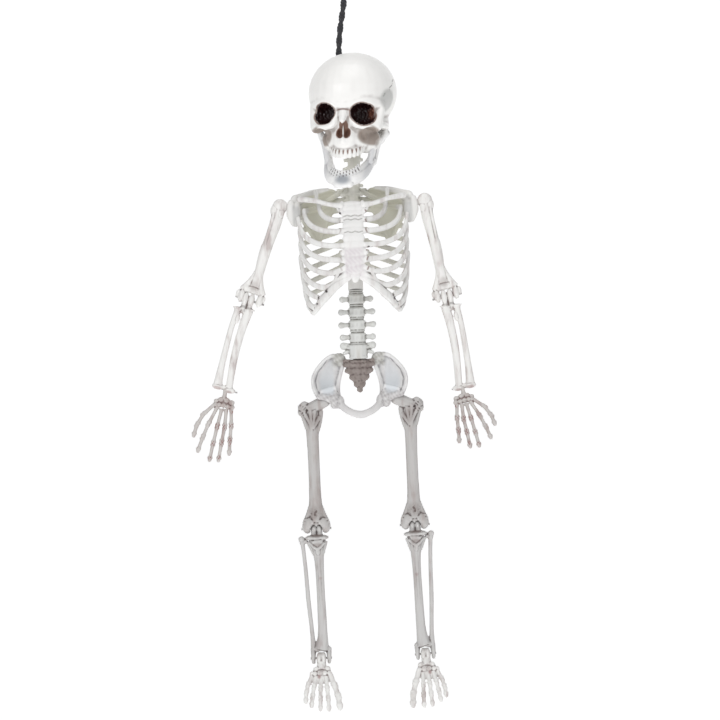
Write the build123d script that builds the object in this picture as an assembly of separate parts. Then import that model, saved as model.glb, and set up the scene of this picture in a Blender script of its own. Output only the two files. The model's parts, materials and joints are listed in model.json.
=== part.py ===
"""Hanging skeleton figure, about 400 mm tall, moulded in white plastic and pinned at the joints.

Row frame: +Z up, the figure faces -Y, its own left side is +X. The origin is the point where a hook
carries the cord loop, so everything hangs below it. Limbs are drawn on the left (+X) side and mirrored.
"""

from build123d import *
import math
import os

# ---------------------------------------------------------------- driving dimensions (mm, degrees)
CROWN_Z = -72.0  # top of the skull, below the hook point
NECK_SEAT = (2.9, 5.0, -128.0)  # where the skull base sits on the neck
HEAD_TURN = -12.0  # the face looks a little to the figure's right
HEAD_LEAN = 2.4  # the neck peg leans to the figure's left

SHOULDER = (44.8, 2.0, -164.8)
UPPER_ARM = 59.0  # shoulder to elbow
FOREARM = 56.5  # elbow to wrist
ARM_SPLAY = {"left": 10.5, "right": 20.0}  # upper arm out from vertical
FOREARM_CARRY = 3.4  # forearm turned back in, moulded
WRIST_BEND = {"left": -28.0, "right": -4.0}  # palms face forward, fingers come forward

HIP = (22.3, 0.0, -283.4)
THIGH = 77.6  # hip to knee, measured down
KNEE_OUT = 7.7  # knee centre outside the hip centre
SHIN = 79.0  # knee to ankle
SHIN_TILT = {"left": 2.4, "right": 0.2}  # shin out from vertical
FOOT_PITCH = -30.0  # toes forward of straight down

PIN_R = 0.70  # elbow, knee and ankle pins
SMALL_PIN_R = 0.50  # wrist, swivel and jaw pins
FIT = 0.05  # radial play of a pin in its hole
SIDE_PLAY = 0.35  # play each side of a tongue in its fork
SHELL = 1.8  # skull wall
SHOULDER_REACH = 14.4  # how far a swivel's peg goes in from the joint's centre
HIP_REACH = 12.2

REAR_TILT = 14.0  # each rib climbs a little from the side to the spine
RIB_WALL = 1.9
RIB_HEIGHT = 2.7
# Ribs from the top: height at the side, half width, half depth, drop towards the front in degrees.
RIBS = [
    (-165.8, 20.5, 12.6, 35.4),
    (-168.0, 28.5, 17.0, 38.7),
    (-174.5, 32.3, 19.5, 39.2),
    (-180.0, 32.9, 20.5, 42.8),
    (-187.0, 32.8, 21.0, 43.0),
    (-195.2, 32.4, 21.0, 43.3),
    (-203.6, 31.6, 20.6, 43.0),
    (-211.6, 30.4, 20.0, 43.0),
    (-218.6, 28.8, 19.0, 43.0),
]
RIB_PEG = (28.6, -220.6)  # x and z of the pegs that join the cage's halves
NECK_BASE = (11.4, -161.0)  # y and z where the neck stands on the chest spine
WAIST_SPINE_TOP = (11.6, -217.0)  # y and z where the chest spine ends
LUMBAR_STEP = 8.1
LUMBAR_Y = 7.5

CORD_D = 4.0  # twisted pair
STRAND_D = 2.2  # one strand, in the loop
# The cord's route from inside the crown up to the knot, and the loop's route from knot to knot.
CORD_ROUTE = [
    (-4.6, 3.0, -77.0),
    (-4.7, 2.8, -67.5),
    (-4.0, 2.2, -58.0),
    (-2.6, 1.4, -48.5),
    (-1.2, 0.6, -39.5),
    (-0.5, 0.0, -33.0),
]
LOOP_ROUTE = [
    (-0.9, 0.0, -29.2),
    (-3.4, 0.0, -21.5),
    (-6.6, 0.0, -11.5),
    (-6.2, 0.0, -3.2),
    (0.0, 0.0, 2.6),
    (6.2, 0.0, -3.2),
    (6.6, 0.0, -11.5),
    (3.4, 0.0, -21.5),
    (0.9, 0.0, -29.2),
]
KNOT_Z = -31.2
KNOT_R = 3.6

BOTTOM = (Align.CENTER, Align.CENTER, Align.MIN)


# ---------------------------------------------------------------- helpers
def oval_loft(stations):
    """Solid through oval sections. A station is (z, centre x, centre y, half width, half depth)."""
    return loft([Pos(x, y, z) * Ellipse(rx, ry) for z, x, y, rx, ry in stations])


def rod(start, end, r_start, r_end=None):
    """Round bar from start to end, tapered if a second radius is given."""
    a, b = Vector(*start), Vector(*end)
    place = Plane(origin=a, z_dir=b - a)
    if r_end is None or abs(r_end - r_start) < 1e-6:
        return place * Cylinder(r_start, (b - a).length, align=BOTTOM)
    return place * Cone(r_start, r_end, (b - a).length, align=BOTTOM)


def across(x0, x1, r, y=0.0, z=0.0):
    """Cylinder along X from x0 to x1."""
    return Pos(x0, y, z) * Rot(0, 90, 0) * Cylinder(r, x1 - x0, align=BOTTOM)


def fore_aft(y0, y1, r, x=0.0, z=0.0):
    """Cylinder along Y from y0 to y1."""
    return Pos(x, y0, z) * Rot(-90, 0, 0) * Cylinder(r, y1 - y0, align=BOTTOM)


def ball(centre, r):
    return Pos(*centre) * Sphere(r)


def oval_ball(centre, rx, ry, rz):
    return Pos(*centre) * scale(Sphere(1), by=(rx, ry, rz))


def block(x0, x1, y0, y1, z0, z1):
    """Box between two corners."""
    return Pos((x0 + x1) / 2, (y0 + y1) / 2, (z0 + z1) / 2) * Box(x1 - x0, y1 - y0, z1 - z0)


def chain(points, radii):
    """Balls at the points joined by tapered bars: one finger or toe."""
    shape = ball(points[0], radii[0])
    for i in range(1, len(points)):
        shape += rod(points[i - 1], points[i], radii[i - 1] * 0.8, radii[i] * 0.8)
        shape += ball(points[i], radii[i])
    return shape


def rounded_path(route, share=0.45):
    """Straight runs through the route's points joined by tangent arcs as large as the runs allow."""
    points = [Vector(*p) for p in route]
    radii = []
    for before, here, after in zip(points, points[1:], points[2:]):
        turn = math.radians((here - before).get_angle(after - here))
        shorter = min((here - before).length, (after - here).length)
        radii.append(share * shorter / math.tan(turn / 2))
    return FilletPolyline(*points, radius=radii), radii


def cord_tube(route, diameter, name):
    """Round tube along a route, checked against its section times its length."""
    path, radii = rounded_path(route)
    section = Plane(origin=path @ 0, z_dir=path % 0) * Circle(diameter / 2)
    tube = sweep(section, path=path)
    expected = math.pi * diameter**2 / 4 * path.length
    print(name, "length", round(path.length, 1), "volume share", round(tube.volume / expected, 4))
    print(name, "bend radii", [round(r, 1) for r in radii])
    return tube


# ---------------------------------------------------------------- places of the joints
def side_places(side):
    """Frames of the joints of one side, drawn for +X: the right side is their mirror image."""
    place = {"shoulder": Pos(*SHOULDER), "hip": Pos(*HIP)}
    place["upper_arm"] = place["shoulder"] * Rot(0, -ARM_SPLAY[side], 0)
    place["elbow"] = place["upper_arm"] * Pos(0, 0, -UPPER_ARM)
    place["forearm"] = place["elbow"] * Rot(0, FOREARM_CARRY, 0)
    place["wrist"] = place["forearm"] * Pos(0, 0, -FOREARM)
    place["hand"] = place["wrist"] * Rot(WRIST_BEND[side], 0, 0)
    place["thigh"] = place["hip"]
    place["knee"] = place["thigh"] * Pos(KNEE_OUT, 0, -THIGH)
    place["shin"] = place["knee"] * Rot(0, -SHIN_TILT[side], 0)
    place["ankle"] = place["shin"] * Pos(0, 0, -SHIN)
    place["foot"] = place["ankle"] * Rot(FOOT_PITCH, 0, 0)
    return place


NECK_PLACE = Pos(*NECK_SEAT) * Rot(0, HEAD_LEAN, 0)
HEAD_PLACE = NECK_PLACE * Rot(0, 0, HEAD_TURN)
WAIST = (0.0, LUMBAR_Y, -258.0)
JAW_HINGE = (0.0, -3.0, 7.0)  # in the head's frame, whose origin is the neck seat


# ---------------------------------------------------------------- skull, in the head's frame
def skull():
    """Hollow skull with eye sockets and nose, split into a face half and a rear half."""
    crown = CROWN_Z - NECK_SEAT[2]
    vault_rz = 24.5
    vault = (0.0, -3.0, crown - vault_rz)
    outside = oval_ball(vault, 26.6, 33.0, vault_rz)
    face = oval_loft(
        [
            (30, 0, -15.0, 22.5, 18.0),
            (20, 0, -16.5, 22.8, 17.2),
            (11, 0, -17.0, 21.0, 16.0),
            (1, 0, -19.5, 14.0, 12.5),
            (-8, 0, -21.0, 10.8, 10.0),
        ]
    )
    base = across(-18.4, 18.4, 4.2, y=JAW_HINGE[1], z=JAW_HINGE[2] + 1.0)
    occiput = oval_loft([(0, 0, 0, 8.0, 8.0), (6, 0, 1, 12.0, 12.0), (14, 0, 2, 18.0, 20.0)])
    hollow = oval_ball((0, 0.5, vault[2]), 26.6 - SHELL, 30.0 - SHELL, vault_rz - SHELL)
    shape = outside + face + base + occiput - hollow
    for x in (-11.2, 11.2):
        socket = Plane(origin=(x, -50, 16.8), z_dir=(0.12 * math.copysign(1, x), 1, 0)) * extrude(
            Ellipse(7.0, 6.4), 26.5
        )
        shape -= socket
    nose = Plane(origin=(0, -50, 6.4), x_dir=(1, 0, 0), z_dir=(0, 1, 0)) * extrude(
        Polygon((0, -6.0), (4.6, 4.6), (-4.6, 4.6), align=None), 26.0
    )
    shape -= nose
    shape -= Cylinder(2.3, 24, align=(Align.CENTER, Align.CENTER, Align.CENTER))  # neck peg's hole
    shape -= Pos(0, 0, 9.2) * Cylinder(3.4, 20, align=BOTTOM)  # room for the peg's head
    for side in (-1, 1):
        shape -= across(side * 15.5 - 3.5, side * 15.5 + 3.5, SMALL_PIN_R + FIT, JAW_HINGE[1], JAW_HINGE[2])
    seam = block(-40, 40, 2.0, 60, -40, 80)
    return shape - seam, shape & seam


def jaw():
    """Mandible: a U of bone with two upright branches that carry the hinge ears."""
    outer = Pos(0, -6.5, -25.0) * extrude(Ellipse(16.6, 24.0), 10.5)
    inner = Pos(0, -6.5, -26.0) * extrude(Ellipse(13.4, 20.8), 13.0)
    teeth = Pos(0, -10.5, -15.0) * extrude(Ellipse(12.6, 18.6) - Ellipse(10.6, 16.6), 3.0)
    behind = block(-40, 40, -4.0, 60, -40, 20)
    body = outer - inner + teeth - behind
    for side in (-1, 1):
        foot_y, head_y = -8.0, JAW_HINGE[1]
        branch = loft(
            [
                Pos(side * 15.0, foot_y, -25.0) * Rectangle(3.0, 10.0),
                Pos(side * 15.4, foot_y, -15.0) * Rectangle(3.0, 10.0),
                Pos(side * 20.3, head_y, JAW_HINGE[2] - 1.0) * Rectangle(2.4, 5.4),
            ],
            ruled=True,
        )
        inside = min(side * 19.1, side * 21.5)
        body += branch + across(inside, inside + 2.4, 2.9, JAW_HINGE[1], JAW_HINGE[2])
    for side in (-1, 1):
        inside = min(side * 18.0, side * 23.0)
        body -= across(inside, inside + 5.0, SMALL_PIN_R + FIT, JAW_HINGE[1], JAW_HINGE[2])
    return body


def jaw_pins():
    """Two headed pins that hang the jaw on the skull base."""
    pins = []
    for side in (-1, 1):
        inside = min(side * 12.6, side * 21.7)
        shank = across(inside, inside + 9.1, SMALL_PIN_R, JAW_HINGE[1], JAW_HINGE[2])
        head = min(side * 21.65, side * 22.35)
        pins.append(shank + across(head, head + 0.7, 1.1, JAW_HINGE[1], JAW_HINGE[2]))
    return Compound(children=pins)


# ---------------------------------------------------------------- trunk, in the row frame
def neck_column():
    """Seven neck bones in one moulding, with the headed peg that the skull turns on."""
    y, z = NECK_BASE
    column = oval_loft(
        [
            (z, 0, y, 4.4, 4.0),
            (-150, 0.8, 9.0, 4.2, 4.0),
            (-138, 2.1, 6.5, 4.0, 3.8),
            (-129.2, 2.85, 5.2, 4.6, 4.2),
        ]
    )
    for k in range(6):
        z = -156.5 + 4.7 * k
        x, y = 0.45 * k, 10.2 - 0.95 * k
        column += Pos(x, y, z) * extrude(Ellipse(5.8, 4.7), 2.2)
        column += block(x - 1.0, x + 1.0, y + 3.0, y + 8.0, z - 0.4, z + 1.6)
    peg = Pos(0, 0, -3.0) * Cylinder(2.2, 14.8, align=BOTTOM)
    head = Pos(0, 0, 11.8) * Cone(3.1, 2.0, 2.4, align=BOTTOM)
    return column + NECK_PLACE * (peg + head)


def rib_ring(z, half_width, half_depth, drop):
    """One closed rib ring: an oval band whose front hangs lower than its back."""
    tilt = math.radians(drop)
    deep = half_depth / math.cos(tilt)
    place = Plane(origin=(0, 0, z), x_dir=(1, 0, 0), z_dir=(0, -math.sin(tilt), math.cos(tilt)))
    band = Ellipse(half_width, deep) - Ellipse(half_width - RIB_WALL, deep - RIB_WALL)
    return place * Pos(0, 0, -RIB_HEIGHT / 2) * extrude(band, RIB_HEIGHT)


def rib_cage_front():
    """Breastbone, collar bones, front halves of the ribs and the margin that joins the lower ones."""
    front = block(-50, 50, -50, 0, -250, -150)
    below = Plane(origin=(0, -60, 0), x_dir=(1, 0, 0), z_dir=(0, 1, 0)) * extrude(
        Polygon(
            (0, 207.5), (12, 213.5), (20.5, 222), (26.2, 229), (36, 242),
            (-36, 242), (-26.2, 229), (-20.5, 222), (-12, 213.5), align=None,
        ),
        55,
    )
    shape = oval_loft(
        [
            (-163.4, 0, -10.8, 6.4, 1.5),
            (-172.0, 0, -13.4, 6.6, 1.6),
            (-182.0, 0, -17.6, 5.2, 1.5),
            (-195.0, 0, -20.4, 6.2, 1.5),
            (-203.0, 0, -20.9, 6.6, 1.4),
            (-211.5, 0, -20.4, 1.6, 0.9),
        ]
    )
    for ring in RIBS:
        shape += (rib_ring(*ring) & front) - below
    for s in (-1, 1):
        margin = [
            (s * 2.0, -20.4, -207.5),
            (s * 12.0, -19.2, -213.5),
            (s * 20.5, -14.6, -222.0),
            (s * 26.2, -7.0, -229.0),
        ]
        for a, b in zip(margin, margin[1:]):
            shape += rod(a, b, 1.5) + ball(b, 1.5)
        shape += rod((s * 4.0, -12.4, -164.6), (s * 18.0, -12.0, -164.8), 2.0, 1.5)
        shape += ball((s * 18.0, -12.0, -164.8), 1.5)
        shape += rod((s * 18.0, -12.0, -164.8), (s * 31.0, -3.2, -160.4), 1.5, 2.0)
        shape += ball((s * RIB_PEG[0], -1.2, RIB_PEG[1]), 2.0) & front
    for hole in rib_pegs(FIT):
        shape -= hole
    return shape


def rib_pegs(grow=0.0):
    """Two pegs that join the halves of the rib cage low down at each side."""
    return [fore_aft(-1.8 - grow, 1.8 + grow, 0.6 + grow, s * RIB_PEG[0], RIB_PEG[1]) for s in (-1, 1)]


def swivel_socket(reach):
    """What is bored out of a shoulder or hip block: a cup for the ball and a seat for the swivel."""
    inner = -reach - 0.2
    return Sphere(5.1) + across(inner, 0, 1.6 + FIT) + across(inner, inner + 2.2, 2.1 + FIT)


def both_sides(shape):
    """A shape drawn at +X together with its mirror image."""
    return shape + mirror(shape, about=Plane.YZ)


def shoulder_blade():
    """Left shoulder blade with its spine, its shoulder tip and the block that holds the arm."""
    outline = Polygon((-13, 7.5), (12, 4.5), (11, -4), (-4, -23), (-9, -22.5), (-14, 2), align=None)
    flat = Plane(origin=(26, 13.6, -165), x_dir=(0.81, -0.586, 0), z_dir=(-0.586, -0.81, 0))
    shape = flat * extrude(outline, 1.6)
    tip = (33.0, 7.0, -158.0)
    shape += rod((15.0, 21.6, -160.5), tip, 1.3, 2.0) + ball(tip, 2.0)
    shape += rod(tip, (38.0, 0.0, -157.0), 2.0, 1.8)
    shape += oval_ball((36.4, 1.2, -166.6), 5.2, 6.2, 10.0)
    shape += fore_aft(11.5, 18.0, 1.6, 22.0, -183.0)  # boss against the fifth rib
    return shape - Pos(*SHOULDER) * swivel_socket(SHOULDER_REACH)


def rib_cage_rear():
    """Chest spine, back halves of the ribs, shoulder blades and the blocks that carry the arms."""
    rear = block(-50, 50, 0, 50, -250, -150)
    end_y, end_z = WAIST_SPINE_TOP
    spine = [
        (end_z, 0, end_y, 4.4, 4.2),
        (-205, 0, 15.0, 4.4, 4.2),
        (-192, 0, 17.2, 4.4, 4.2),
        (-176, 0, 16.4, 4.3, 4.2),
        (NECK_BASE[1], 0, NECK_BASE[0], 4.4, 4.0),
    ]
    shape = oval_loft(spine)
    for z, half_width, half_depth, _ in RIBS:
        back_z = z + half_depth * math.tan(math.radians(REAR_TILT))
        shape += rib_ring(z, half_width, half_depth, REAR_TILT) & rear
        shape += block(-2.0, 2.0, half_depth - 6.5, half_depth - 0.6, back_z - 1.6, back_z + 0.6)
        shape += Pos(0, half_depth + 1.0, back_z - 2.0) * Rot(-32, 0, 0) * Box(1.8, 5.0, 2.2)
    for s, hole in zip((-1, 1), rib_pegs(FIT)):
        shape += ball((s * RIB_PEG[0], 1.2, RIB_PEG[1]), 2.0) & rear
        shape -= hole
    return shape + both_sides(shoulder_blade())


def lumbar_spine():
    """Waist spine: a ringed column with side and rear processes, and a headed peg for the pelvis."""
    top_y, top_z = WAIST_SPINE_TOP
    low_z = WAIST[2] + 0.3
    shape = oval_loft(
        [
            (low_z, 0, LUMBAR_Y, 5.2, 4.6),
            (-246, 0, LUMBAR_Y, 4.3, 4.2),
            (-231, 0, 8.2, 4.2, 4.1),
            (top_z, 0, top_y, 4.3, 4.1),
        ]
    )
    for k in range(5):
        z = -222.0 - LUMBAR_STEP * k
        y = LUMBAR_Y + (2.5, 1.4, 0.6, 0.1, 0.0)[k]
        reach = 8.6 + 0.3 * k
        shape += Pos(0, y, z - 2.1) * extrude(Ellipse(5.2, 4.7), 4.2)
        shape += Pos(0, y + 1.2, z) * Box(2 * reach, 2.6, 2.8)
        shape += both_sides(oval_ball((reach, y + 1.2, z), 1.6, 1.5, 2.0))
        shape += block(-1.0, 1.0, y + 3.5, y + 9.0, z - 2.0, z + 1.6)
    shape += Pos(0, LUMBAR_Y, low_z) * extrude(Ellipse(6.6, 5.0), 1.4)
    peg = Pos(0, LUMBAR_Y, WAIST[2] - 6.4) * Cylinder(1.9, 8.0, align=BOTTOM)
    head = Pos(0, LUMBAR_Y, WAIST[2] - 8.4) * Cone(1.9, 2.7, 2.0, align=BOTTOM)
    return shape + peg + head


# ---------------------------------------------------------------- pelvis, in the row frame
def sacrum_wedge():
    """Outside of the sacrum, which also shapes the notch between the hip bones."""
    return oval_loft(
        [
            (-278.0, 0, 10.0, 1.6, 1.2),
            (-271.0, 0, 11.5, 5.6, 3.0),
            (-264.0, 0, 10.0, 8.6, 5.0),
            (WAIST[2], 0, 9.0, 9.0, 5.4),
        ]
    )


def sacrum():
    """Wedge of fused bones at the back of the pelvis, bored for the waist peg."""
    bore = Pos(0, LUMBAR_Y, WAIST[2] - 9.0) * Cylinder(1.9 + FIT, 10.0, align=BOTTOM)
    seat = Pos(0, LUMBAR_Y, WAIST[2] - 8.8) * Cylinder(2.7 + FIT, 2.6, align=BOTTOM)
    return sacrum_wedge() - bore - seat


def hip_bone():
    """Left hip bone: the flared wing and the block that holds the leg."""
    outline = Polygon(
        (-17, 8), (-10, 22.5), (-1, 26), (8, 22), (13.5, 12),
        (13.5, 2), (10.5, -2.5), (4, -1), (-4, -4), (-9, 0), align=None,
    )
    flat = Plane(origin=(19.5, 4.5, -277.5), x_dir=(0.80, -0.60, 0), z_dir=(-0.60, -0.80, 0))
    return flat * extrude(outline, 2.8) + ball((17.6, 0, -283.4), 6.4)


def pelvis():
    """Hip bones in one moulding: two flared wings, the ring below them and the two hip sockets."""
    lean = math.radians(38.0)
    flat = Plane(origin=(0, -1.5, -277.2), x_dir=(1, 0, 0), z_dir=(0, -math.cos(lean), math.sin(lean)))
    ring = Pos(0, 0, -2.2) * extrude(Ellipse(17.6, 21.8) - Ellipse(13.0, 17.6), 4.4)
    socket = Pos(*HIP) * swivel_socket(HIP_REACH)
    return flat * ring + both_sides(hip_bone()) - both_sides(socket) - sacrum_wedge()


# ---------------------------------------------------------------- limbs, each in its own joint's frame
def swivel(reach):
    """Knuckle of a shoulder or hip: a barbed peg turns in the block, and its eye carries the limb."""
    peg = across(-reach + 0.8, -1.5, 1.6) & block(-20, -4.6, -3, 3, -3, 3)
    barb = across(-reach, -reach + 1.4, 2.05)
    neck = block(-4.9, 0, -1.2, 1.2, -1.2, 1.2)
    eye = fore_aft(-1.2, 1.2, 2.3)
    return peg + barb + neck + eye - fore_aft(-3, 3, SMALL_PIN_R + FIT)


def swivel_pin():
    return fore_aft(-4.0, 4.0, SMALL_PIN_R)


def swivel_slot():
    """Slot in a ball that lets the limb fold up and out round its swivel."""
    return block(-9, 1.6, -1.5, 1.5, -2.4, 9) + fore_aft(-1.5, 1.5, 2.7)


def fork_slot(half_width, r):
    """Room cut in a fork for a tongue of radius r."""
    return across(-half_width, half_width, r + 0.4) + block(-half_width, half_width, -r - 4, r + 4, -r - 6, 0)


def upper_arm():
    shape = oval_loft(
        [
            (-1.0, 0.9, 0, 3.6, 3.6),
            (-12, 0.6, 0, 3.3, 3.2),
            (-30, 0, 0, 3.1, 3.0),
            (-44, 0, 0, 3.2, 2.9),
            (-51, 0.3, 0, 5.6, 3.0),
            (-56, 0.4, 0, 8.2, 3.2),
        ]
    )
    shape += Sphere(4.6) + across(-8.6, 8.8, 4.0, z=-UPPER_ARM)
    shape -= Pos(0, 0, -UPPER_ARM) * fork_slot(3.3, 4.0)
    shape -= swivel_slot() + fore_aft(-6, 6, SMALL_PIN_R + FIT)
    return shape - across(-12, 12, PIN_R + FIT, z=-UPPER_ARM)


def forearm():
    """Radius and ulna in one moulding, with the elbow tongue on top and the wrist fork below."""
    half = 3.3 - SIDE_PLAY
    tongue = across(-half, half, 3.7) + block(-half, half, -2.2, 2.2, -6.5, 0)
    plate = Pos(0, 0, -7.6) * extrude(Ellipse(7.0, 3.4), 2.8)
    turned = Rot(0, FOREARM_CARRY, 0)
    radius = oval_loft(
        [
            (-6.5, 3.9, 0, 2.3, 2.2),
            (-20, 3.7, 0, 1.8, 1.8),
            (-38, 4.0, 0, 1.9, 1.9),
            (-51, 4.6, 0, 2.5, 2.2),
            (-56, 4.4, 0, 2.7, 2.3),
        ]
    )
    ulna = oval_loft(
        [
            (-6.5, -3.2, 0, 2.9, 2.6),
            (-20, -2.6, 0, 2.2, 2.1),
            (-38, -2.8, 0, 2.0, 2.0),
            (-51, -3.4, 0, 2.1, 2.0),
            (-56, -3.7, 0, 2.2, 2.2),
        ]
    )
    ends = across(1.35, 7.2, 2.8, z=-FOREARM) + across(-6.2, -1.35, 2.7, z=-FOREARM)
    bridge = block(-3.4, 3.4, -1.4, 1.4, -FOREARM + 3.2, -FOREARM + 5.4)
    lower = radius + ulna + ends + bridge
    lower -= across(-1.35, 1.35, 3.1, z=-FOREARM) + across(-12, 12, SMALL_PIN_R + FIT, z=-FOREARM)
    return tongue + plate + turned * lower - across(-6, 6, PIN_R + FIT)


# Each finger from its root: (out towards the thumb, forward, down), with the ball radii.
FINGERS = {
    "thumb": [(4.6, -0.4, -8.4), (10.6, -1.2, -15.8), (12.9, -1.8, -22.8), (13.8, -2.4, -29.0)],
    "index": [(3.2, -0.2, -11.0), (6.0, -0.8, -21.8), (7.3, -1.6, -29.5), (8.2, -3.0, -37.4)],
    "middle": [(0.3, -0.2, -11.8), (0.8, -0.8, -22.6), (0.8, -1.7, -31.9), (0.2, -3.2, -41.4)],
    "ring": [(-2.2, -0.2, -11.4), (-3.6, -0.8, -21.3), (-4.4, -1.6, -30.3), (-5.2, -3.0, -39.6)],
    "little": [(-4.7, -0.2, -10.4), (-7.2, -0.7, -19.6), (-8.5, -1.4, -26.9), (-9.8, -2.6, -34.6)],
}


def hand():
    """Wrist tongue, wrist bones and five fingers, with the palm facing forward."""
    half = 1.35 - SIDE_PLAY
    shape = across(-half, half, 2.4) + block(-half, half, -1.4, 1.4, -5.6, 0)
    shape += oval_loft(
        [
            (-4.6, 0, 0, 3.4, 1.7),
            (-7.6, 0, 0, 6.2, 2.3),
            (-10.4, -0.4, 0, 6.4, 2.2),
            (-12.6, -0.6, 0, 5.4, 1.5),
        ]
    )
    for points in FINGERS.values():
        shape += chain(points, (1.3, 1.5, 1.4, 1.1))
    return shape - across(-4, 4, SMALL_PIN_R + FIT)


def thigh():
    """Thigh bone with a ball and neck at the hip and a pair of knuckles at the knee."""
    k = KNEE_OUT
    shape = oval_loft(
        [
            (-2.5, 11.0, 0, 3.6, 3.2),
            (-9, 9.4, 0, 4.8, 3.8),
            (-18, 7.9, 0, 4.0, 3.7),
            (-42, k, 0, 3.4, 3.4),
            (-62, k, 0, 3.5, 3.4),
            (-70, k, 0, 5.4, 4.0),
            (-75, k, 0, 8.0, 4.6),
        ]
    )
    shape += Sphere(4.3) + rod((0, 0, 0), (9.5, 0, -4.8), 2.9, 3.4)
    shape += ball((13.2, 0, -3.6), 3.5) + ball((5.2, 1.4, -12.6), 2.2)
    shape += across(k - 8.8, k + 8.8, 5.0, z=-THIGH)
    shape -= Pos(k, 0, -THIGH) * fork_slot(3.6, 5.0)
    shape -= swivel_slot() + fore_aft(-6, 6, SMALL_PIN_R + FIT)
    return shape - across(k - 12, k + 12, PIN_R + FIT, z=-THIGH)


def shin(tilt):
    """Tibia and fibula in one moulding, with the knee tongue on top and the ankle fork below."""
    half = 3.6 - SIDE_PLAY
    level = Rot(0, tilt, 0)  # the knee pin stays level while the shin leans out
    shape = level * (across(-half, half, 4.6) + block(-half, half, -2.6, 2.6, -8, 0))
    shape += Pos(0, 0, -9.2) * extrude(Ellipse(7.3, 4.6), 3.4)
    shape += oval_loft(
        [
            (-8.5, 0, 0, 6.6, 4.2),
            (-14, 0.2, 0, 4.4, 3.7),
            (-24, 0.2, 0, 3.1, 3.1),
            (-48, 0, 0, 2.8, 2.8),
            (-67, 0, 0, 3.0, 2.9),
            (-73, 0, 0, 5.4, 3.4),
            (-76, 0, 0, 6.1, 3.6),
        ]
    )
    shape += across(-6.2, 6.2, 3.6, z=-SHIN)
    shape += ball((8.4, 0, -9.0), 2.3) + rod((8.6, 0, -9), (7.6, 0, -40), 1.5, 1.25)
    shape += ball((7.6, 0, -40), 1.25) + rod((7.6, 0, -40), (5.6, 0, -72), 1.25, 1.5)
    shape -= Pos(0, 0, -SHIN) * fork_slot(3.45, 3.6)
    return shape - across(-10, 10, PIN_R + FIT, z=-SHIN) - level * across(-6, 6, PIN_R + FIT)


# Each toe from the instep: (out from the body, forward, down).
TOES = {
    "great": [(-6.0, -0.2, -12.0), (-8.0, -0.4, -18.2), (-9.2, -0.3, -25.8), (-9.6, 0.2, -31.6)],
    "second": [(-3.0, -0.4, -13.6), (-3.3, -0.6, -21.0), (-3.5, -0.4, -27.8), (-3.8, 0.4, -33.6)],
    "third": [(0.4, -0.4, -13.8), (0.9, -0.5, -20.8), (1.0, -0.3, -27.6), (1.2, 0.5, -33.2)],
    "fourth": [(3.8, -0.2, -14.0), (4.8, -0.3, -20.0), (5.5, 0.0, -26.0), (6.2, 0.7, -31.0)],
    "little": [(7.0, 0.0, -13.4), (8.5, 0.0, -18.2), (9.3, 0.3, -23.2), (9.5, 0.9, -28.4)],
}


def foot():
    """Ankle tongue, heel, instep and five toes. Drawn with the toes straight down."""
    half = 3.45 - SIDE_PLAY
    shape = across(-half, half, 3.2) + block(-half, half, -2.4, 2.4, -6, 0)
    shape += oval_loft(
        [(-4.4, 0, 0, 3.9, 2.9), (-9, -0.4, 0, 5.4, 2.9), (-14.5, 0, 0, 8.2, 2.2), (-16.5, 0, 0, 8.4, 1.6)]
    )
    shape += rod((0, 1.0, -6.5), (0, 6.6, -5.4), 2.8, 3.0) + ball((0, 6.8, -5.4), 3.2)
    for name, points in TOES.items():
        shape += chain(points, (1.9, 2.1, 2.0, 1.7) if name == "great" else (1.4, 1.4, 1.5, 1.15))
    return shape - across(-6, 6, PIN_R + FIT)


# ---------------------------------------------------------------- cord
def cord_pieces():
    """Twisted cord out of the crown, the knot that stops it inside, the upper knot and the loop."""
    cord = cord_tube(CORD_ROUTE, CORD_D, "hanging_cord")
    loop = cord_tube(LOOP_ROUTE, STRAND_D, "cord_loop")
    knot = oval_ball((-0.4, 0, KNOT_Z), KNOT_R, KNOT_R, 3.2) - cord - loop
    x, y, z = CORD_ROUTE[0]
    stopper = ball((x, y, z - 1.6), 3.4) - cord
    return {"hanging_cord": cord, "cord_loop": loop, "cord_knot": knot, "cord_stopper_knot": stopper}


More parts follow.
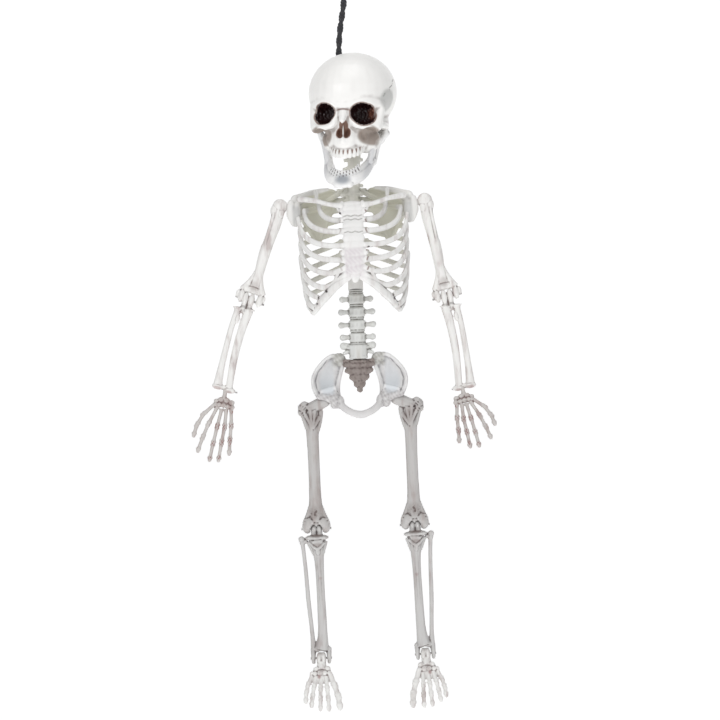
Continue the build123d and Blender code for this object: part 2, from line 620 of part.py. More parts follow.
# ---------------------------------------------------------------- assembly
def build():
    """Every piece by name, in the row frame."""
    pieces = cord_pieces()
    face, rear = skull()
    x, y, _ = CORD_ROUTE[0]
    crown_hole = Pos(x - 0.05, y - 0.1, CROWN_Z) * Cylinder(CORD_D / 2 + 0.35, 16)
    pieces["skull_face"] = HEAD_PLACE * face - crown_hole
    pieces["skull_rear"] = HEAD_PLACE * rear - crown_hole
    pieces["jaw"] = HEAD_PLACE * jaw()
    pieces["jaw_pins"] = HEAD_PLACE * jaw_pins()
    pieces["neck_column"] = neck_column()
    pieces["rib_cage_front"] = rib_cage_front()
    pieces["rib_cage_rear"] = rib_cage_rear()
    pieces["rib_cage_pegs"] = Compound(children=rib_pegs())
    pieces["lumbar_spine"] = lumbar_spine()
    pieces["sacrum"] = sacrum()
    pieces["pelvis"] = pelvis()
    for side in ("left", "right"):
        places = side_places(side)
        limbs = {
            "shoulder_swivel": ("shoulder", swivel(SHOULDER_REACH)),
            "shoulder_pin": ("upper_arm", swivel_pin()),
            "upper_arm": ("upper_arm", upper_arm()),
            "elbow_pin": ("elbow", across(-9.2, 9.2, PIN_R)),
            "forearm": ("elbow", forearm()),
            "wrist_pin": ("wrist", across(-6.6, 7.6, SMALL_PIN_R)),
            "hand": ("hand", hand()),
            "hip_swivel": ("hip", swivel(HIP_REACH)),
            "hip_pin": ("thigh", swivel_pin()),
            "thigh": ("thigh", thigh()),
            "knee_pin": ("knee", across(-9.2, 9.2, PIN_R)),
            "shin": ("shin", shin(SHIN_TILT[side])),
            "ankle_pin": ("ankle", across(-6.6, 6.6, PIN_R)),
            "foot": ("foot", foot()),
        }
        for name, (place, shape) in limbs.items():
            placed = places[place] * shape
            pieces[f"{name}_{side}"] = placed if side == "left" else mirror(placed, about=Plane.YZ)
    return pieces


os.makedirs("parts", exist_ok=True)
for name, shape in build().items():
    export_step(shape, f"parts/{name}.step")
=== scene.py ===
"""Hanging skeleton figure in white moulded plastic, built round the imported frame.

Sections follow the figure as it is put together: camera, lights and stage, cord, skull, jaw, neck and
rib cage, lower spine, pelvis and sacrum, arms, legs, and the swivels that carry the limbs.
"""

import json
import math

import bpy
import numpy as np
from mathutils import Matrix, Vector

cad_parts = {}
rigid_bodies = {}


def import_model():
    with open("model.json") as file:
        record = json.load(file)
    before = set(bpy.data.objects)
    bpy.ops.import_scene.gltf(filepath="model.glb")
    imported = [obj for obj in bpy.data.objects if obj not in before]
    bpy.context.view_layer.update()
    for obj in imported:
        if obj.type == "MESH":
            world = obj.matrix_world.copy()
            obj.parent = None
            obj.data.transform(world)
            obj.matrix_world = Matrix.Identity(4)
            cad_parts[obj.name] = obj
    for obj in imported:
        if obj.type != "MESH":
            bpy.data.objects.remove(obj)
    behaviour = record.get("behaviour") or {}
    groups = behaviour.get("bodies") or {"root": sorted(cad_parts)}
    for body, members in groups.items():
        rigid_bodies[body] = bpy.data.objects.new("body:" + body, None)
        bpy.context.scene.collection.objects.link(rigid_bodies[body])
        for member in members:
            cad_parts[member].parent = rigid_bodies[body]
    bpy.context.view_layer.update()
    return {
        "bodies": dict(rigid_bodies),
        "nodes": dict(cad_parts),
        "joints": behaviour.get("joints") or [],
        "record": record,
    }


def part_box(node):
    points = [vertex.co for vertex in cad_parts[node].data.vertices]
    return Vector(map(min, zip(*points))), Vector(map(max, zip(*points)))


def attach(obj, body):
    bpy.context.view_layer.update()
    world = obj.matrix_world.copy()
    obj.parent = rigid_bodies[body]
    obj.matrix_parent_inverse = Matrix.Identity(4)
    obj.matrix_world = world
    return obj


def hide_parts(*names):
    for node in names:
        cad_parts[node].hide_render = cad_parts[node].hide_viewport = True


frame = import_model()
bpy.ops.object.select_all(action="DESELECT")
MM = 0.001
joints = {joint["name"]: joint for joint in frame["record"]["behaviour"]["joints"]}

# ---------------------------------------------------------------- camera, lights and stage
# A long lens looks straight at the front of the figure and is rolled a little, so the figure leans.
# The stage is a white sweep far enough off to stay out of the figure's light.
VIEW_CENTRE = (0.8 * MM, -259.3 * MM)
VIEW_SIDE = 439.2 * MM
VIEW_ROLL = -2.386
LENS = 100.0
camera_data = bpy.data.cameras.new("camera")
camera_data.lens = LENS
camera_distance = VIEW_SIDE * LENS / camera_data.sensor_width
camera_data.clip_end = 20.0
camera = bpy.data.objects.new("camera", camera_data)
bpy.context.collection.objects.link(camera)
camera.matrix_world = (
    Matrix.Translation((VIEW_CENTRE[0], -camera_distance, VIEW_CENTRE[1]))
    @ Matrix.Rotation(math.radians(90), 4, "X")
    @ Matrix.Rotation(math.radians(VIEW_ROLL), 4, "Z")
)
bpy.context.scene.camera = camera
bpy.context.scene.view_settings.view_transform = "Standard"

world = bpy.data.worlds.new("studio")
bpy.context.scene.world = world
world.use_nodes = True
world.node_tree.nodes["Background"].inputs["Color"].default_value = (0.98, 0.99, 1.0, 1)
world.node_tree.nodes["Background"].inputs["Strength"].default_value = 0.30

for name, place, power, size in (
    ("key light", (-0.75, -1.25, 0.35), 8.2, 0.7),
    ("fill light", (0.95, -1.1, -0.15), 3.6, 0.9),
    ("top light", (0.1, -0.15, 0.75), 3.0, 0.6),
    ("back light", (0.3, 1.3, 0.2), 1.0, 0.9),
):
    lamp = bpy.data.lights.new(name, "AREA")
    lamp.energy = power
    lamp.size = size
    lamp_object = bpy.data.objects.new(name, lamp)
    bpy.context.collection.objects.link(lamp_object)
    lamp_object.location = place
    lamp_object.rotation_euler = (Vector((0, 0, -0.26)) - Vector(place)).to_track_quat("-Z", "Y").to_euler()

FLOOR_Z = -0.95
SWEEP_Y = 2.6
bpy.ops.mesh.primitive_plane_add(size=8.0, location=(0, 0, FLOOR_Z))
floor = bpy.context.object
floor.name = "floor"
bpy.ops.object.mode_set(mode="EDIT")
bpy.ops.mesh.select_all(action="DESELECT")
bpy.ops.object.mode_set(mode="OBJECT")
for edge in floor.data.edges:
    edge.select = all(floor.data.vertices[i].co.y > 0 for i in edge.vertices)
bpy.ops.object.mode_set(mode="EDIT")
bpy.ops.transform.translate(value=(0, SWEEP_Y - 4.0, 0))
bpy.ops.mesh.extrude_region_move(TRANSFORM_OT_translate={"value": (0, 0.8, 0.5)})
bpy.ops.mesh.extrude_region_move(TRANSFORM_OT_translate={"value": (0, 0.2, 3.5)})
bpy.ops.object.mode_set(mode="OBJECT")
floor.modifiers.new("sweep", "SUBSURF").levels = 3
paper = bpy.data.materials.new("studio_paper")
paper.use_nodes = True
paper_nodes = paper.node_tree.nodes
paper_nodes["Principled BSDF"].inputs["Base Color"].default_value = (0.95, 0.95, 0.95, 1)
paper_nodes["Principled BSDF"].inputs["Roughness"].default_value = 0.9
paper_nodes["Principled BSDF"].inputs["Emission Color"].default_value = (1, 1, 1, 1)
paper_nodes["Principled BSDF"].inputs["Emission Strength"].default_value = 0.55
floor.data.materials.append(paper)

# ---------------------------------------------------------------- cord
# A black twisted cord of two strands comes out of a hole in the crown and is knotted above it.
# One strand goes on as the hanging loop. A stopper knot inside the skull holds the cord.
CORD_TWIST = 15.0 * MM  # length of one turn of the pair
YARN_TWIST = 4.2 * MM  # length of one turn of the three yarns in a strand
YARN_BLACK = (0.012, 0.012, 0.016, 1)
YARN_WORN = (0.075, 0.073, 0.085, 1)
CORD_ROUTE = [
    (-4.6, 3.0, -77.0),
    (-4.2, 2.8, -67.5),
    (-3.2, 2.2, -58.0),
    (-1.4, 1.4, -48.5),
    (0.4, 0.6, -39.5),
    (-0.5, 0.0, -33.0),
]
LOOP_ROUTE = [
    (-0.9, 0.0, -29.2),
    (-3.4, 0.0, -21.5),
    (-6.6, 0.0, -11.5),
    (-6.2, 0.0, -3.2),
    (0.0, 0.0, 2.6),
    (6.2, 0.0, -3.2),
    (6.6, 0.0, -11.5),
    (3.4, 0.0, -21.5),
    (0.9, 0.0, -29.2),
]


def route_points(route):
    """The smooth line of a route, as points read from its spline."""
    curve = bpy.data.curves.new("route", "CURVE")
    curve.dimensions = "3D"
    spline = curve.splines.new("NURBS")
    spline.points.add(len(route) - 1)
    for point, place in zip(spline.points, route):
        point.co = (*(Vector(place) * MM), 1)
    spline.use_endpoint_u = True
    spline.order_u = 3
    spline.resolution_u = 24
    holder = bpy.data.objects.new("route", curve)
    bpy.context.collection.objects.link(holder)
    line = bpy.data.meshes.new_from_object(holder)
    places = [vertex.co.copy() for vertex in line.vertices]
    bpy.data.objects.remove(holder)
    return places


def yarn_tubes(name, line, strands, strand_out, yarn_out, yarn_r):
    """Yarns wound round strands that are wound round a line, as one mesh."""
    curve = bpy.data.curves.new(name, "CURVE")
    curve.dimensions = "3D"
    curve.bevel_depth = yarn_r
    curve.bevel_resolution = 1
    curve.use_fill_caps = True
    along = [(b - a).normalized() for a, b in zip(line, line[1:])]
    along.append(along[-1])
    side = along[0].orthogonal().normalized()
    frames, travelled = [], 0.0
    for i, (place, ahead) in enumerate(zip(line, along)):
        if i:
            travelled += (place - line[i - 1]).length
        side = (side - ahead * side.dot(ahead)).normalized()
        frames.append((place, side, ahead.cross(side), travelled))
    for strand in range(strands):
        for yarn in range(3):
            spline = curve.splines.new("POLY")
            spline.points.add(len(frames) - 1)
            for point, (place, across, up, distance) in zip(spline.points, frames):
                a = math.tau * (strand / max(strands, 1) + distance / CORD_TWIST)
                b = math.tau * (yarn / 3 - distance / YARN_TWIST) + a
                out = across * (math.cos(a) * strand_out + math.cos(b) * yarn_out)
                out += up * (math.sin(a) * strand_out + math.sin(b) * yarn_out)
                point.co = (*(place + out), 1)
    holder = bpy.data.objects.new(name, curve)
    bpy.context.collection.objects.link(holder)
    bpy.context.view_layer.objects.active = holder
    holder.select_set(True)
    bpy.ops.object.convert(target="MESH")
    bpy.ops.object.shade_smooth()
    holder.select_set(False)
    return holder


def knot(name, centre, half_width, half_height, tube_r):
    """A pulled-tight overhand knot: a three-lobed winding of the strand, squashed round."""
    line = []
    for i in range(121):
        t = math.tau * i / 120
        x, y, z = math.sin(t) + 2 * math.sin(2 * t), math.cos(t) - 2 * math.cos(2 * t), -math.sin(3 * t)
        line.append(
            Vector((x / 3 * half_width, y / 3 * half_width, z * half_height)) + Vector(centre) * MM
        )
    piece = yarn_tubes(name, line, 1, 0.0, tube_r * 0.5, tube_r * 0.52)
    bpy.ops.mesh.primitive_uv_sphere_add(segments=24, ring_count=12, location=Vector(centre) * MM)
    core = bpy.context.object
    core.scale = (half_width * 0.72, half_width * 0.72, half_height)
    bpy.ops.object.transform_apply(location=True, rotation=True, scale=True)
    bpy.ops.object.shade_smooth()
    piece.select_set(True)
    bpy.context.view_layer.objects.active = piece
    bpy.ops.object.join()
    piece.select_set(False)
    return piece


def cord_material():
    """Black spun yarn: fine slanted fibres, a little worn and grey on the outside."""
    material = bpy.data.materials.new("black_yarn")
    material.use_nodes = True
    nodes, links = material.node_tree.nodes, material.node_tree.links
    shader = nodes["Principled BSDF"]
    place = nodes.new("ShaderNodeTexCoord")
    turn = nodes.new("ShaderNodeMapping")
    turn.inputs["Rotation"].default_value = (0.6, 0.9, 0.3)
    turn.inputs["Scale"].default_value = (1.0, 1.0, 0.25)
    fibre = nodes.new("ShaderNodeTexNoise")
    fibre.inputs["Scale"].default_value = 5200.0
    fibre.inputs["Detail"].default_value = 3.0
    ramp = nodes.new("ShaderNodeValToRGB")
    ramp.color_ramp.elements[0].position = 0.42
    ramp.color_ramp.elements[0].color = YARN_BLACK
    ramp.color_ramp.elements[1].position = 0.78
    ramp.color_ramp.elements[1].color = YARN_WORN
    bump = nodes.new("ShaderNodeBump")
    bump.inputs["Strength"].default_value = 0.5
    bump.inputs["Distance"].default_value = 0.12 * MM
    links.new(place.outputs["Object"], turn.inputs["Vector"])
    links.new(turn.outputs["Vector"], fibre.inputs["Vector"])
    links.new(fibre.outputs["Fac"], ramp.inputs["Fac"])
    links.new(ramp.outputs["Color"], shader.inputs["Base Color"])
    links.new(fibre.outputs["Fac"], bump.inputs["Height"])
    links.new(bump.outputs["Normal"], shader.inputs["Normal"])
    shader.inputs["Roughness"].default_value = 0.72
    shader.inputs["Sheen Weight"].default_value = 0.25
    return material


yarn_black = cord_material()
cord_line = route_points(CORD_ROUTE)
loop_line = route_points(LOOP_ROUTE)
cord = yarn_tubes("twisted_cord", cord_line, 2, 0.7 * MM, 0.68 * MM, 0.68 * MM)
loop = yarn_tubes("hanging_loop_strand", loop_line, 1, 0.0, 0.58 * MM, 0.56 * MM)
knot_low, knot_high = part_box("cord_knot")
knot_centre = (Vector(knot_low) + Vector(knot_high)) / 2 / MM
upper_knot = knot("upper_knot", knot_centre, 3.0 * MM, 2.0 * MM, 1.1 * MM)
stopper_low, stopper_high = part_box("cord_stopper_knot")
stopper_centre = (Vector(stopper_low) + Vector(stopper_high)) / 2 / MM
stopper_knot = knot("stopper_knot", stopper_centre, 2.8 * MM, 1.9 * MM, 1.0 * MM)
for piece, node in (
    (cord, "hanging_cord"),
    (loop, "cord_loop"),
    (upper_knot, "cord_knot"),
    (stopper_knot, "cord_stopper_knot"),
):
    piece.data.materials.clear()
    piece.data.materials.append(yarn_black)
    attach(piece, "skull")
    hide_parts(node)


# ---------------------------------------------------------------- skull
# A hollow moulded skull in two glued halves, face and rear, in bright warm white plastic.
# The sockets are painted a glossy dark brown, the nose and the tooth lines a thin red-brown.
# Its own frame has the neck seat as origin, the face along -Y, and millimetres as its unit.
NECK = joints["neck_swivel"]
HEAD_TURN = -12.0
head_place = (
    Matrix.Translation(NECK["pos_m"])
    @ Matrix.Rotation(math.atan2(NECK["axis"][0], NECK["axis"][2]), 4, "Y")
    @ Matrix.Rotation(math.radians(HEAD_TURN), 4, "Z")
)


def knob(at, size, turn=(0, 0, 0)):
    """A rounded lump: its centre, its half sizes and its turn in degrees."""
    bpy.ops.mesh.primitive_uv_sphere_add(segments=32, ring_count=18, radius=MM)
    lump = bpy.context.object
    lump.location = Vector(at) * MM
    lump.rotation_euler = [math.radians(t) for t in turn]
    lump.scale = size
    bpy.ops.object.transform_apply(location=True, rotation=True, scale=True)
    return lump


def strand(points, tall=0.0):
    """A smooth bar through (x, y, z, radius) points. tall draws its section out upwards."""
    curve = bpy.data.curves.new("strand", "CURVE")
    curve.dimensions = "3D"
    curve.twist_mode = "Z_UP" if tall else "MINIMUM"
    curve.bevel_depth = MM
    curve.bevel_resolution = 3
    curve.extrude = tall * MM
    curve.use_fill_caps = True
    curve.resolution_u = 10
    spline = curve.splines.new("NURBS")
    spline.points.add(len(points) - 1)
    for point, (x, y, z, r) in zip(spline.points, points):
        point.co = (x * MM, y * MM, z * MM, 1)
        point.radius = r
    spline.use_endpoint_u = True
    spline.order_u = 3
    bar = bpy.data.objects.new("strand", curve)
    bpy.context.collection.objects.link(bar)
    bpy.ops.object.select_all(action="DESELECT")
    bar.select_set(True)
    bpy.context.view_layer.objects.active = bar
    bpy.ops.object.convert(target="MESH")
    return bpy.context.object


def sheet(rows, thick):
    """A smooth plate through rows of points. Every row has the same number of points."""
    net = np.array(rows, dtype=float)
    for axis, count in ((0, 14), (1, 30)):
        old, new = np.linspace(0, 1, net.shape[axis]), np.linspace(0, 1, count)
        degree = min(net.shape[axis] - 1, 4)
        net = np.apply_along_axis(lambda v: np.polyval(np.polyfit(old, v, degree), new), axis, net)
    corners = [i * 30 + j for i in range(13) for j in range(29)]
    mesh = bpy.data.meshes.new("sheet")
    mesh.from_pydata(
        (net.reshape(-1, 3) * MM).tolist(), [], [(c, c + 1, c + 31, c + 30) for c in corners]
    )
    plate = bpy.data.objects.new("sheet", mesh)
    bpy.context.collection.objects.link(plate)
    use(plate, "SOLIDIFY", thickness=thick * MM, offset=0)
    return plate


def rounded(points, tall=0.0):
    """A strand with a ball on each end."""
    first, last = points[0], points[-1]
    return [strand(points, tall), knob(first[:3], (first[3],) * 3), knob(last[:3], (last[3],) * 3)]


def use(piece, kind, **settings):
    """Adds a modifier with these settings and applies it."""
    bpy.ops.object.select_all(action="DESELECT")
    piece.select_set(True)
    bpy.context.view_layer.objects.active = piece
    modifier = piece.modifiers.new("step", kind)
    for key, value in settings.items():
        setattr(modifier, key, value)
    bpy.ops.object.modifier_apply(modifier="step")


def fuse(name, lumps, grain=0.45, relax=3):
    """Joins overlapping lumps into one closed skin of even faces, softened as a moulding is."""
    bpy.ops.object.select_all(action="DESELECT")
    for lump in lumps:
        lump.select_set(True)
    bpy.context.view_layer.objects.active = lumps[0]
    if len(lumps) > 1:
        bpy.ops.object.join()
    piece = bpy.context.object
    piece.name = name
    use(piece, "REMESH", mode="VOXEL", voxel_size=grain * MM)
    if relax:
        use(piece, "SMOOTH", iterations=relax, factor=0.5)
    piece.select_set(False)
    return piece


def carve(piece, cutters, grain=0.6):
    """Cuts lumps away from a piece."""
    tool = fuse("tool", cutters, grain, 1)
    use(piece, "BOOLEAN", operation="DIFFERENCE", solver="MANIFOLD", object=tool)
    bpy.data.objects.remove(tool)


def both(make):
    """What make returns for the figure's left and for its right."""
    return [lump for side in (1, -1) for lump in make(side)]


def spots(piece):
    """The places of a piece's points, in millimetres."""
    flat = np.empty(len(piece.data.vertices) * 3)
    piece.data.vertices.foreach_get("co", flat)
    return flat.reshape(-1, 3) / MM


def facing(piece):
    """The directions that a piece's points face."""
    flat = np.empty(len(piece.data.vertices) * 3)
    piece.data.vertices.foreach_get("normal", flat)
    return flat.reshape(-1, 3)


def move_out(piece, heights):
    """Raises each point of a piece by its own height, in millimetres."""
    places = spots(piece) + facing(piece) * heights[:, None]
    piece.data.vertices.foreach_set("co", (places * MM).ravel())
    piece.data.update()


def keep_mask(piece, name, values):
    """Keeps a number from 0 to 1 at each point, for the paint."""
    layer = piece.data.attributes.get(name) or piece.data.attributes.new(name, "FLOAT", "POINT")
    layer.data.foreach_set("value", np.clip(values, 0, 1).astype(np.float32))


def band(values, start, end):
    """0 before start, 1 after end, smooth between."""
    t = np.clip((values - start) / (end - start), 0, 1)
    return t * t * (3 - 2 * t)


def mark_hollows(piece, narrow=8, broad=60, edge=0.0):
    """Keeps how deep each point lies in a crease and in a wide hollow, where paint wash collects.

    edge adds painted shade on the flanks that turn away from the front, kept in one mask with the crease
    wash.
    """
    count = len(piece.data.vertices)
    ends = np.empty(len(piece.data.edges) * 2, dtype=np.int64)
    piece.data.edges.foreach_get("vertices", ends)
    a, b = ends.reshape(-1, 2).T
    degree = np.maximum(np.bincount(a, minlength=count) + np.bincount(b, minlength=count), 1)
    places, out = spots(piece), facing(piece)
    soft = places.copy()
    for step in range(1, broad + 1):
        for k in range(3):
            near = np.bincount(a, soft[b, k], count) + np.bincount(b, soft[a, k], count)
            soft[:, k] += 0.6 * (near / degree - soft[:, k])
        if step == narrow:
            # painted shade: flanks that turn away from the front are darkened, added to the crease wash
            flank_shade = edge * band(out[:, 1], -0.75, 0.1)
            keep_mask(piece, "crease_wash_and_flank_shade", ((soft - places) * out).sum(1) * 7.0 + flank_shade)
    depth = ((soft - places) * out).sum(1)
    keep_mask(piece, "hollow", depth * 1.3)
    # raised parts, which the paint lightens as a painted highlight
    keep_mask(piece, "raised", -depth * 0.8 - 0.25)


def wash_group():
    """Colour, roughness and relief of moulded bone: wash in the hollows, painted shade on the flanks, a
    painted highlight on raised parts, mottling and fine grain.
    """
    group = bpy.data.node_groups.new("moulded_bone", "ShaderNodeTree")
    for name, kind in (
        ("Plastic", "NodeSocketColor"),
        ("Wash", "NodeSocketColor"),
        ("Stain", "NodeSocketColor"),
        ("Wash Amount", "NodeSocketFloat"),
        ("Stain Amount", "NodeSocketFloat"),
        ("Ridge Highlight Amount", "NodeSocketFloat"),
        ("Roughness", "NodeSocketFloat"),
    ):
        group.interface.new_socket(name, in_out="INPUT", socket_type=kind)
    for name, kind in (
        ("Colour", "NodeSocketColor"),
        ("Roughness", "NodeSocketFloat"),
        ("Height", "NodeSocketFloat"),
    ):
        group.interface.new_socket(name, in_out="OUTPUT", socket_type=kind)
    nodes, links = group.nodes, group.links
    source, result = nodes.new("NodeGroupInput"), nodes.new("NodeGroupOutput")
    place = nodes.new("ShaderNodeTexCoord")

    def noise(scale, detail, stretch=(1, 1, 1)):
        mapping = nodes.new("ShaderNodeMapping")
        mapping.inputs["Scale"].default_value = stretch
        texture = nodes.new("ShaderNodeTexNoise")
        texture.inputs["Scale"].default_value = scale
        texture.inputs["Detail"].default_value = detail
        links.new(place.outputs["Object"], mapping.inputs["Vector"])
        links.new(mapping.outputs["Vector"], texture.inputs["Vector"])
        return texture.outputs["Fac"]

    def mask(name):
        layer = nodes.new("ShaderNodeAttribute")
        layer.attribute_name = name
        return layer.outputs["Fac"]

    def maths(operation, a, b, clamp=False):
        step = nodes.new("ShaderNodeMath")
        step.operation = operation
        step.use_clamp = clamp
        for socket, value in zip(step.inputs, (a, b)):
            if isinstance(value, (int, float)):
                socket.default_value = value
            else:
                links.new(value, socket)
        return step.outputs[0]

    def spread(value, low, high):
        step = nodes.new("ShaderNodeMapRange")
        step.interpolation_type = "SMOOTHSTEP"
        step.inputs["From Min"].default_value = low
        step.inputs["From Max"].default_value = high
        links.new(value, step.inputs["Value"])
        return step.outputs["Result"]

    def mix(factor, first, second):
        step = nodes.new("ShaderNodeMix")
        step.data_type = "RGBA"
        links.new(factor, step.inputs["Factor"])
        links.new(first, step.inputs["A"])
        links.new(second, step.inputs["B"])
        return step.outputs["Result"]

    coarse, middle, fine = noise(90, 3), noise(420, 4), noise(1900, 2)
    streak = noise(300, 4, (1, 1, 0.16))
    patchy = spread(middle, 0.3, 0.7)
    # the crease mask holds both the crease wash and the painted flank shade
    deep = maths(
        "ADD", maths("MULTIPLY", mask("crease_wash_and_flank_shade"), maths("ADD", patchy, 0.45)), mask("hollow"), True
    )
    wash_and_shade = maths("MULTIPLY", deep, source.outputs["Wash Amount"], True)
    stain = maths("MULTIPLY", spread(streak, 0.42, 0.72), source.outputs["Stain Amount"], True)
    stain = maths("MULTIPLY", stain, maths("ADD", spread(coarse, 0.35, 0.65), 0.35), True)
    colour = mix(stain, source.outputs["Plastic"], source.outputs["Stain"])
    # painted highlight: raised parts are painted near white
    ridge_highlight = nodes.new("ShaderNodeRGB")
    ridge_highlight.outputs[0].default_value = (0.90, 0.89, 0.87, 1)
    raised = maths("MULTIPLY", mask("raised"), maths("ADD", patchy, 0.35))
    colour = mix(
        maths("MULTIPLY", raised, source.outputs["Ridge Highlight Amount"], True), colour, ridge_highlight.outputs[0]
    )
    links.new(mix(wash_and_shade, colour, source.outputs["Wash"]), result.inputs["Colour"])
    rough = maths("ADD", source.outputs["Roughness"], maths("MULTIPLY", wash_and_shade, 0.15))
    links.new(maths("ADD", rough, maths("MULTIPLY", middle, 0.12)), result.inputs["Roughness"])
    relief = maths("ADD", maths("MULTIPLY", fine, 0.35), maths("MULTIPLY", streak, 0.65))
    links.new(relief, result.inputs["Height"])
    return group


bone_group = wash_group()


def bone_material(name, plastic, wash_and_shade, stain, wash_amount, stain_amount, roughness=0.42, ridge_highlight=0.0):
    """Moulded bone plastic. Wash fills its hollows and lays painted shade on its flanks, and the highlight
    amount at the end paints its raised parts whiter, a painted highlight.
    """
    material = bpy.data.materials.new(name)
    material.use_nodes = True
    nodes, links = material.node_tree.nodes, material.node_tree.links
    bone = nodes.new("ShaderNodeGroup")
    bone.node_tree = bone_group
    for key, value in (("Plastic", plastic), ("Wash", wash_and_shade), ("Stain", stain)):
        bone.inputs[key].default_value = (*value, 1)
    bone.inputs["Wash Amount"].default_value = wash_amount
    bone.inputs["Stain Amount"].default_value = stain_amount
    bone.inputs["Ridge Highlight Amount"].default_value = ridge_highlight
    bone.inputs["Roughness"].default_value = roughness
    bump = nodes.new("ShaderNodeBump")
    bump.inputs["Strength"].default_value = 0.35
    bump.inputs["Distance"].default_value = 0.12 * MM
    shader = nodes["Principled BSDF"]
    links.new(bone.outputs["Colour"], shader.inputs["Base Color"])
    links.new(bone.outputs["Roughness"], shader.inputs["Roughness"])
    links.new(bone.outputs["Height"], bump.inputs["Height"])
    links.new(bump.outputs["Normal"], shader.inputs["Normal"])
    return material


def paint_over(material, mask_name, colour, roughness=None):
    """Lays a paint over the material where a mask says, with its own gloss."""
    nodes, links = material.node_tree.nodes, material.node_tree.links
    shader = nodes["Principled BSDF"]
    layer = nodes.new("ShaderNodeAttribute")
    layer.attribute_name = mask_name
    for socket_name, value in (("Base Color", colour), ("Roughness", roughness)):
        if value is None:
            continue
        step = nodes.new("ShaderNodeMix")
        under = shader.inputs[socket_name].links[0].from_socket
        step.data_type = "RGBA" if socket_name == "Base Color" else "FLOAT"
        sockets = [s for s in step.inputs if s.enabled]
        links.new(layer.outputs["Fac"], sockets[0])
        links.new(under, sockets[1])
        sockets[2].default_value = (*value, 1) if socket_name == "Base Color" else value
        links.new([s for s in step.outputs if s.enabled][0], shader.inputs[socket_name])


EYES = ((1, 11.0, 18.4, 7.3, 6.7), (-1, 11.9, 19.2, 7.3, 6.2))  # side, x, height, half width, half height
CROWN = (-0.4, -3.0, 31.9)
CROWN_HALF = (26.8, 33.0, 25.1)
EYE_CUTS = [cut for s, x, z, wide, tall in EYES for cut in (
    ((s * (x + 0.5), -27.6, z - 0.5), (wide - 0.3, 9.0, tall - 0.4), s * 24),
    ((s * (x - 0.9), -28.5, z + 0.6), (wide - 0.9, 8.8, tall - 0.7), s * 12),
)]
skull = fuse(
    "skull",
    [
        knob(CROWN, CROWN_HALF),
        knob((0, 8, 17), (19, 21, 15)),
        knob((0, 1, 8), (13, 13, 8)),
        knob((0, -14.5, 26), (22.6, 18.2, 9.5)),
        knob((0, -17, 14), (17.0, 14.4, 11)),
        knob((0, -18, 4), (13.2, 13.4, 9.5)),
        knob((0, -18.6, -2.4), (10.4, 12.6, 4.6)),
        knob((0, -27.5, 4.0), (7.4, 6.4, 7.4)),
        *both(lambda s: [knob((s * 9.5, -9, 3), (8.5, 10, 8))]),
        strand([
            (0, -31.0, 23, 3.2), (0, -31.6, 19, 2.5), (0, -34.4, 15.4, 2.4), (0, -36.4, 13.4, 1.7)
        ]),
        *both(
            lambda s: [
                strand([
                    (s * 21, -18, 23.5, 2.8), (s * 15, -27.5, 26.6, 3.4), (s * 6, -31.4, 25.6, 3.2),
                    (0, -31.6, 24.0, 3.0)
                ]),
                strand([
                    (s * 20.6, -18.5, 25, 3.0), (s * 20.6, -21.5, 18, 2.5),
                    (s * 19.0, -24, 12.0, 3.2)
                ]),
                strand([
                    (s * 4.8, -30.8, 21, 1.9), (s * 4.6, -30.8, 15, 2.2), (s * 9, -30.6, 10.4, 1.9),
                    (s * 16.4, -27.6, 11.0, 2.3)
                ]),
                knob((s * 17.8, -24.2, 10.8), (4.4, 4.2, 3.6), (0, 0, s * 30)),
                strand([
                    (s * 17, -26, 11.5, 2.5), (s * 22.2, -19, 12.0, 2.2), (s * 22.0, -9, 11.0, 1.7),
                    (s * 19.6, 1.5, 11.0, 2.0)
                ]),
                knob((s * 15.0, 4, 7.0), (4.2, 6.0, 7.0), (12, 0, 0)),
                knob((s * 19.0, -4, 14), (3.0, 8, 5)),
            ]
        ),
        knob((0, -33.4, 2.2), (2.2, 1.8, 2.0)),
    ],
    grain=0.7,
    relax=10,
)
carve(
    skull,
    [knob(centre, half, (0, 0, turn)) for centre, half, turn in EYE_CUTS]
    + both(
        lambda s: [
            knob((s * 29.0, -16, 20), (5.4, 8.5, 6.5), (0, 0, s * 20)),
            knob((s * 15.6, -29.0, 5.2), (5.6, 7.6, 5.0), (0, s * 24, s * 24)),
            knob((s * 20.4, -15, -0.6), (4.6, 9.0, 6.6), (0, s * 16, s * 10)),
            knob((s * 2.1, -35.5, 7.0), (2.3, 7.5, 3.4), (0, s * 10, 0)),
            knob((s * 1.25, -36.5, 10.6), (1.35, 6.5, 3.8), (0, s * 6, 0)),
        ]
    ),
)

UPPER_TEETH, UPPER_ARCH = 10, (0, -18.6, -5.6, 9.5, 12.6)  # count; centre, half width, half depth
UPPER_SMILE = 4.2  # how far the row climbs to its ends


def tooth_row(count, arch, half_size, smile=0.0):
    """Teeth round an arch. smile lifts the row towards its ends."""
    cx, cy, cz, rx, ry = arch
    row = []
    for i in range(count):
        a = math.radians(-90 + 152 * ((i + 0.5) / count - 0.5))
        wide = half_size[0] * (1.25 if i in (count // 2, count // 2 - 1) else 1.0)
        lift = smile * (1 - abs(math.sin(a))) ** 1.2
        row.append(
            knob(
                (cx + rx * math.cos(a), cy + ry * math.sin(a), cz + lift),
                (wide, half_size[1], half_size[2]),
                (0, 0, math.degrees(a) + 90),
            )
        )
    return row


skull = fuse(
    "skull",
    [
        skull,
        knob((0, -30.0, 8.0), (0.55, 3.2, 5.2)),
        *tooth_row(UPPER_TEETH, UPPER_ARCH, (1.55, 1.0, 2.9), UPPER_SMILE),
    ],
    grain=0.4,
    relax=3,
)


def ellipse_at(places, x, z, half_x, half_z, power=2.0):
    """1 on an ellipse in the face's plane, less inside, more outside."""
    across = np.abs((places[:, 0] - x) / half_x) ** power
    along = np.abs((places[:, 2] - z) / half_z) ** power
    return (across + along) ** (1 / power)


